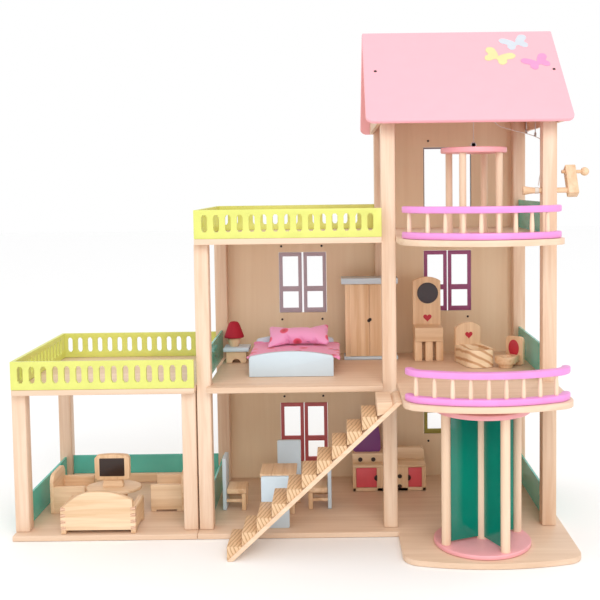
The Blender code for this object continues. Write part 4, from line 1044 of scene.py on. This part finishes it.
# ---------------------------------------------------------------- terrace furniture
def build_terrace():
    floor = BASE_TOP + GAP
    low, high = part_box("settee")
    left, right, front, back = low.x, high.x, low.y, high.y
    settee = Piece("settee_body")
    crown = [(right - 0.004, 0.0485), (right - 0.0170, 0.0545), (-0.3810, 0.0595), (-0.3990, 0.0612),
             (-0.4170, 0.0592), (-0.4330, 0.0520), (left + 0.004, 0.0400)]
    top = [(p.x, floor + p.y) for p in smooth_through([(x, z, 0) for x, z in crown], 5)]
    settee.board(FURN_X, [[(left + 0.004, floor + 0.0055), (right - 0.004, floor + 0.0055)] + top],
                 front, front + 0.0080, 0.0010, "XZ")
    settee.block(FURN_X, (left + 0.006, front + 0.0075, floor + 0.0200),
                 (right - 0.006, back - 0.002, floor + 0.0280), 0.0008)
    for x in (left, right - 0.0070):
        arm = [(front + 0.0006, floor), (front + 0.0110, floor), (front + 0.0120, floor + 0.0050),
               (back - 0.0110, floor + 0.0050), (back - 0.0100, floor), (back, floor), (back, floor + 0.0310)]
        arm += arc(back - 0.0050, floor + 0.0325, 0.0050, 10, 90, 5) + [(front + 0.0006, floor + 0.0385)]
        settee.board(FURN_Y, [arm], x, x + 0.0070, 0.0009, "YZ")
    comb(settee, (left, right), front, floor + 0.0060, floor + 0.0385)
    settee.done(replaces="settee")

    for node, side in (("armchair_left", 1), ("armchair_right", -1)):
        low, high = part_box(node)
        chair = Piece(node + "_body")
        wall = low.x if side > 0 else high.x

        def across(a, b):
            return sorted((wall + side * a, wall + side * b))

        y0, y1 = low.y, high.y
        panel = [(y0, floor), (y1, floor), (y1, floor + 0.0400)] + arc(y1 - 0.0130, floor + 0.0465, 0.0130, 0, 90, 6)
        panel += arc(y0 + 0.0130, floor + 0.0465, 0.0130, 90, 180, 6) + [(y0, floor + 0.0400)]
        x0, x1 = across(0.0, 0.0060)
        chair.board(FURN_Y, [panel], x0, x1, 0.0010, "YZ")
        x0, x1 = across(0.0055, 0.0525)
        for y in (y0, y1 - 0.0070):
            chair.block(FURN_X, (x0, y, floor + 0.0028), (x1, y + 0.0070, floor + 0.0410), 0.0010)
            chair.block(FURN_X, (x0, y + 0.001, floor), (x0 + 0.008, y + 0.006, floor + 0.0035), 0.0005)
            chair.block(FURN_X, (x1 - 0.008, y + 0.001, floor), (x1, y + 0.006, floor + 0.0035), 0.0005)
        x0, x1 = across(0.0055, 0.0490)
        chair.block(FURN_X, (x0, y0 + 0.006, floor + 0.0180), (x1, y1 - 0.006, floor + 0.0260), 0.0008)
        chair.done(replaces=node)

    x, y = -0.3997, -0.0305
    table = Piece("coffee_table_body")
    oval = [(x + 0.0418 * cos(t), y + 0.0316 * sin(t)) for t in [2 * pi * k / 64 for k in range(64)]]
    table.board(FURN_X, [oval], floor + 0.0318, floor + 0.0370, 0.0016)
    table.block(FURN_Z, (x - 0.018, y - 0.012, floor), (x + 0.018, y + 0.012, floor + 0.0322), 0.0010)
    table.done(replaces="coffee_table_with_tv")
    tv = Piece("toy_television")
    base = floor + 0.0371
    stand = [(x - 0.0158, base), (x + 0.0158, base), (x + 0.0138, base + 0.0125), (x - 0.0138, base + 0.0125)]
    tv.board(FURN_X, [stand], y - 0.006, y + 0.004, 0.0008, "XZ")
    case = [(x - 0.0225, base + 0.0118), (x + 0.0225, base + 0.0118), (x + 0.0262, base + 0.0150),
            (x + 0.0265, base + 0.0450), (x + 0.0225, base + 0.0492)]
    case += bowed((x + 0.0215, base + 0.0494), (x - 0.0215, base + 0.0494), 0.0012, 8)[1:-1]
    case += [(x - 0.0225, base + 0.0492), (x - 0.0265, base + 0.0450), (x - 0.0262, base + 0.0150)]
    tv.board(FURN_Z, [case], y - 0.009, y + 0.002, 0.0014, "XZ")
    screen = rounded(x - 0.0188, base + 0.0178, x + 0.0188, base + 0.0452, 0.0012)
    tv.board(DARK, [screen], y - 0.0098, y - 0.0080, 0.0004, "XZ")
    tv.done()
    sill = Piece("terrace_sill")
    sill.block(FURN_X, (-0.4980, 0.1010, floor), (-0.2800, 0.1060, floor + 0.0150), 0.0008)
    sill.done()


def comb(piece, sides, front, low, high):
    """The fingers of a comb joint at a front board's two ends."""
    step = (high - low) / 7
    for k in range(7):
        material = JOINT if k % 2 == 0 else FURN_X
        for x, out in ((sides[0], -0.0003), (sides[1] - 0.0072, 0.0003)):
            piece.block(material, (x + out, front - 0.0003, low + step * k + 0.0002),
                        (x + 0.0072 + out, front + 0.0060, low + step * (k + 1) - 0.0001), 0.0004)


def main():
    build_stage()
    build_frame()
    build_roof()
    build_railings()
    build_stair()
    build_windows()
    build_door()
    build_lift()
    build_cords()
    build_crank()
    build_bed()
    build_bedside()
    build_wardrobe()
    build_dining()
    build_kitchen()
    build_bathroom()
    build_terrace()


main()
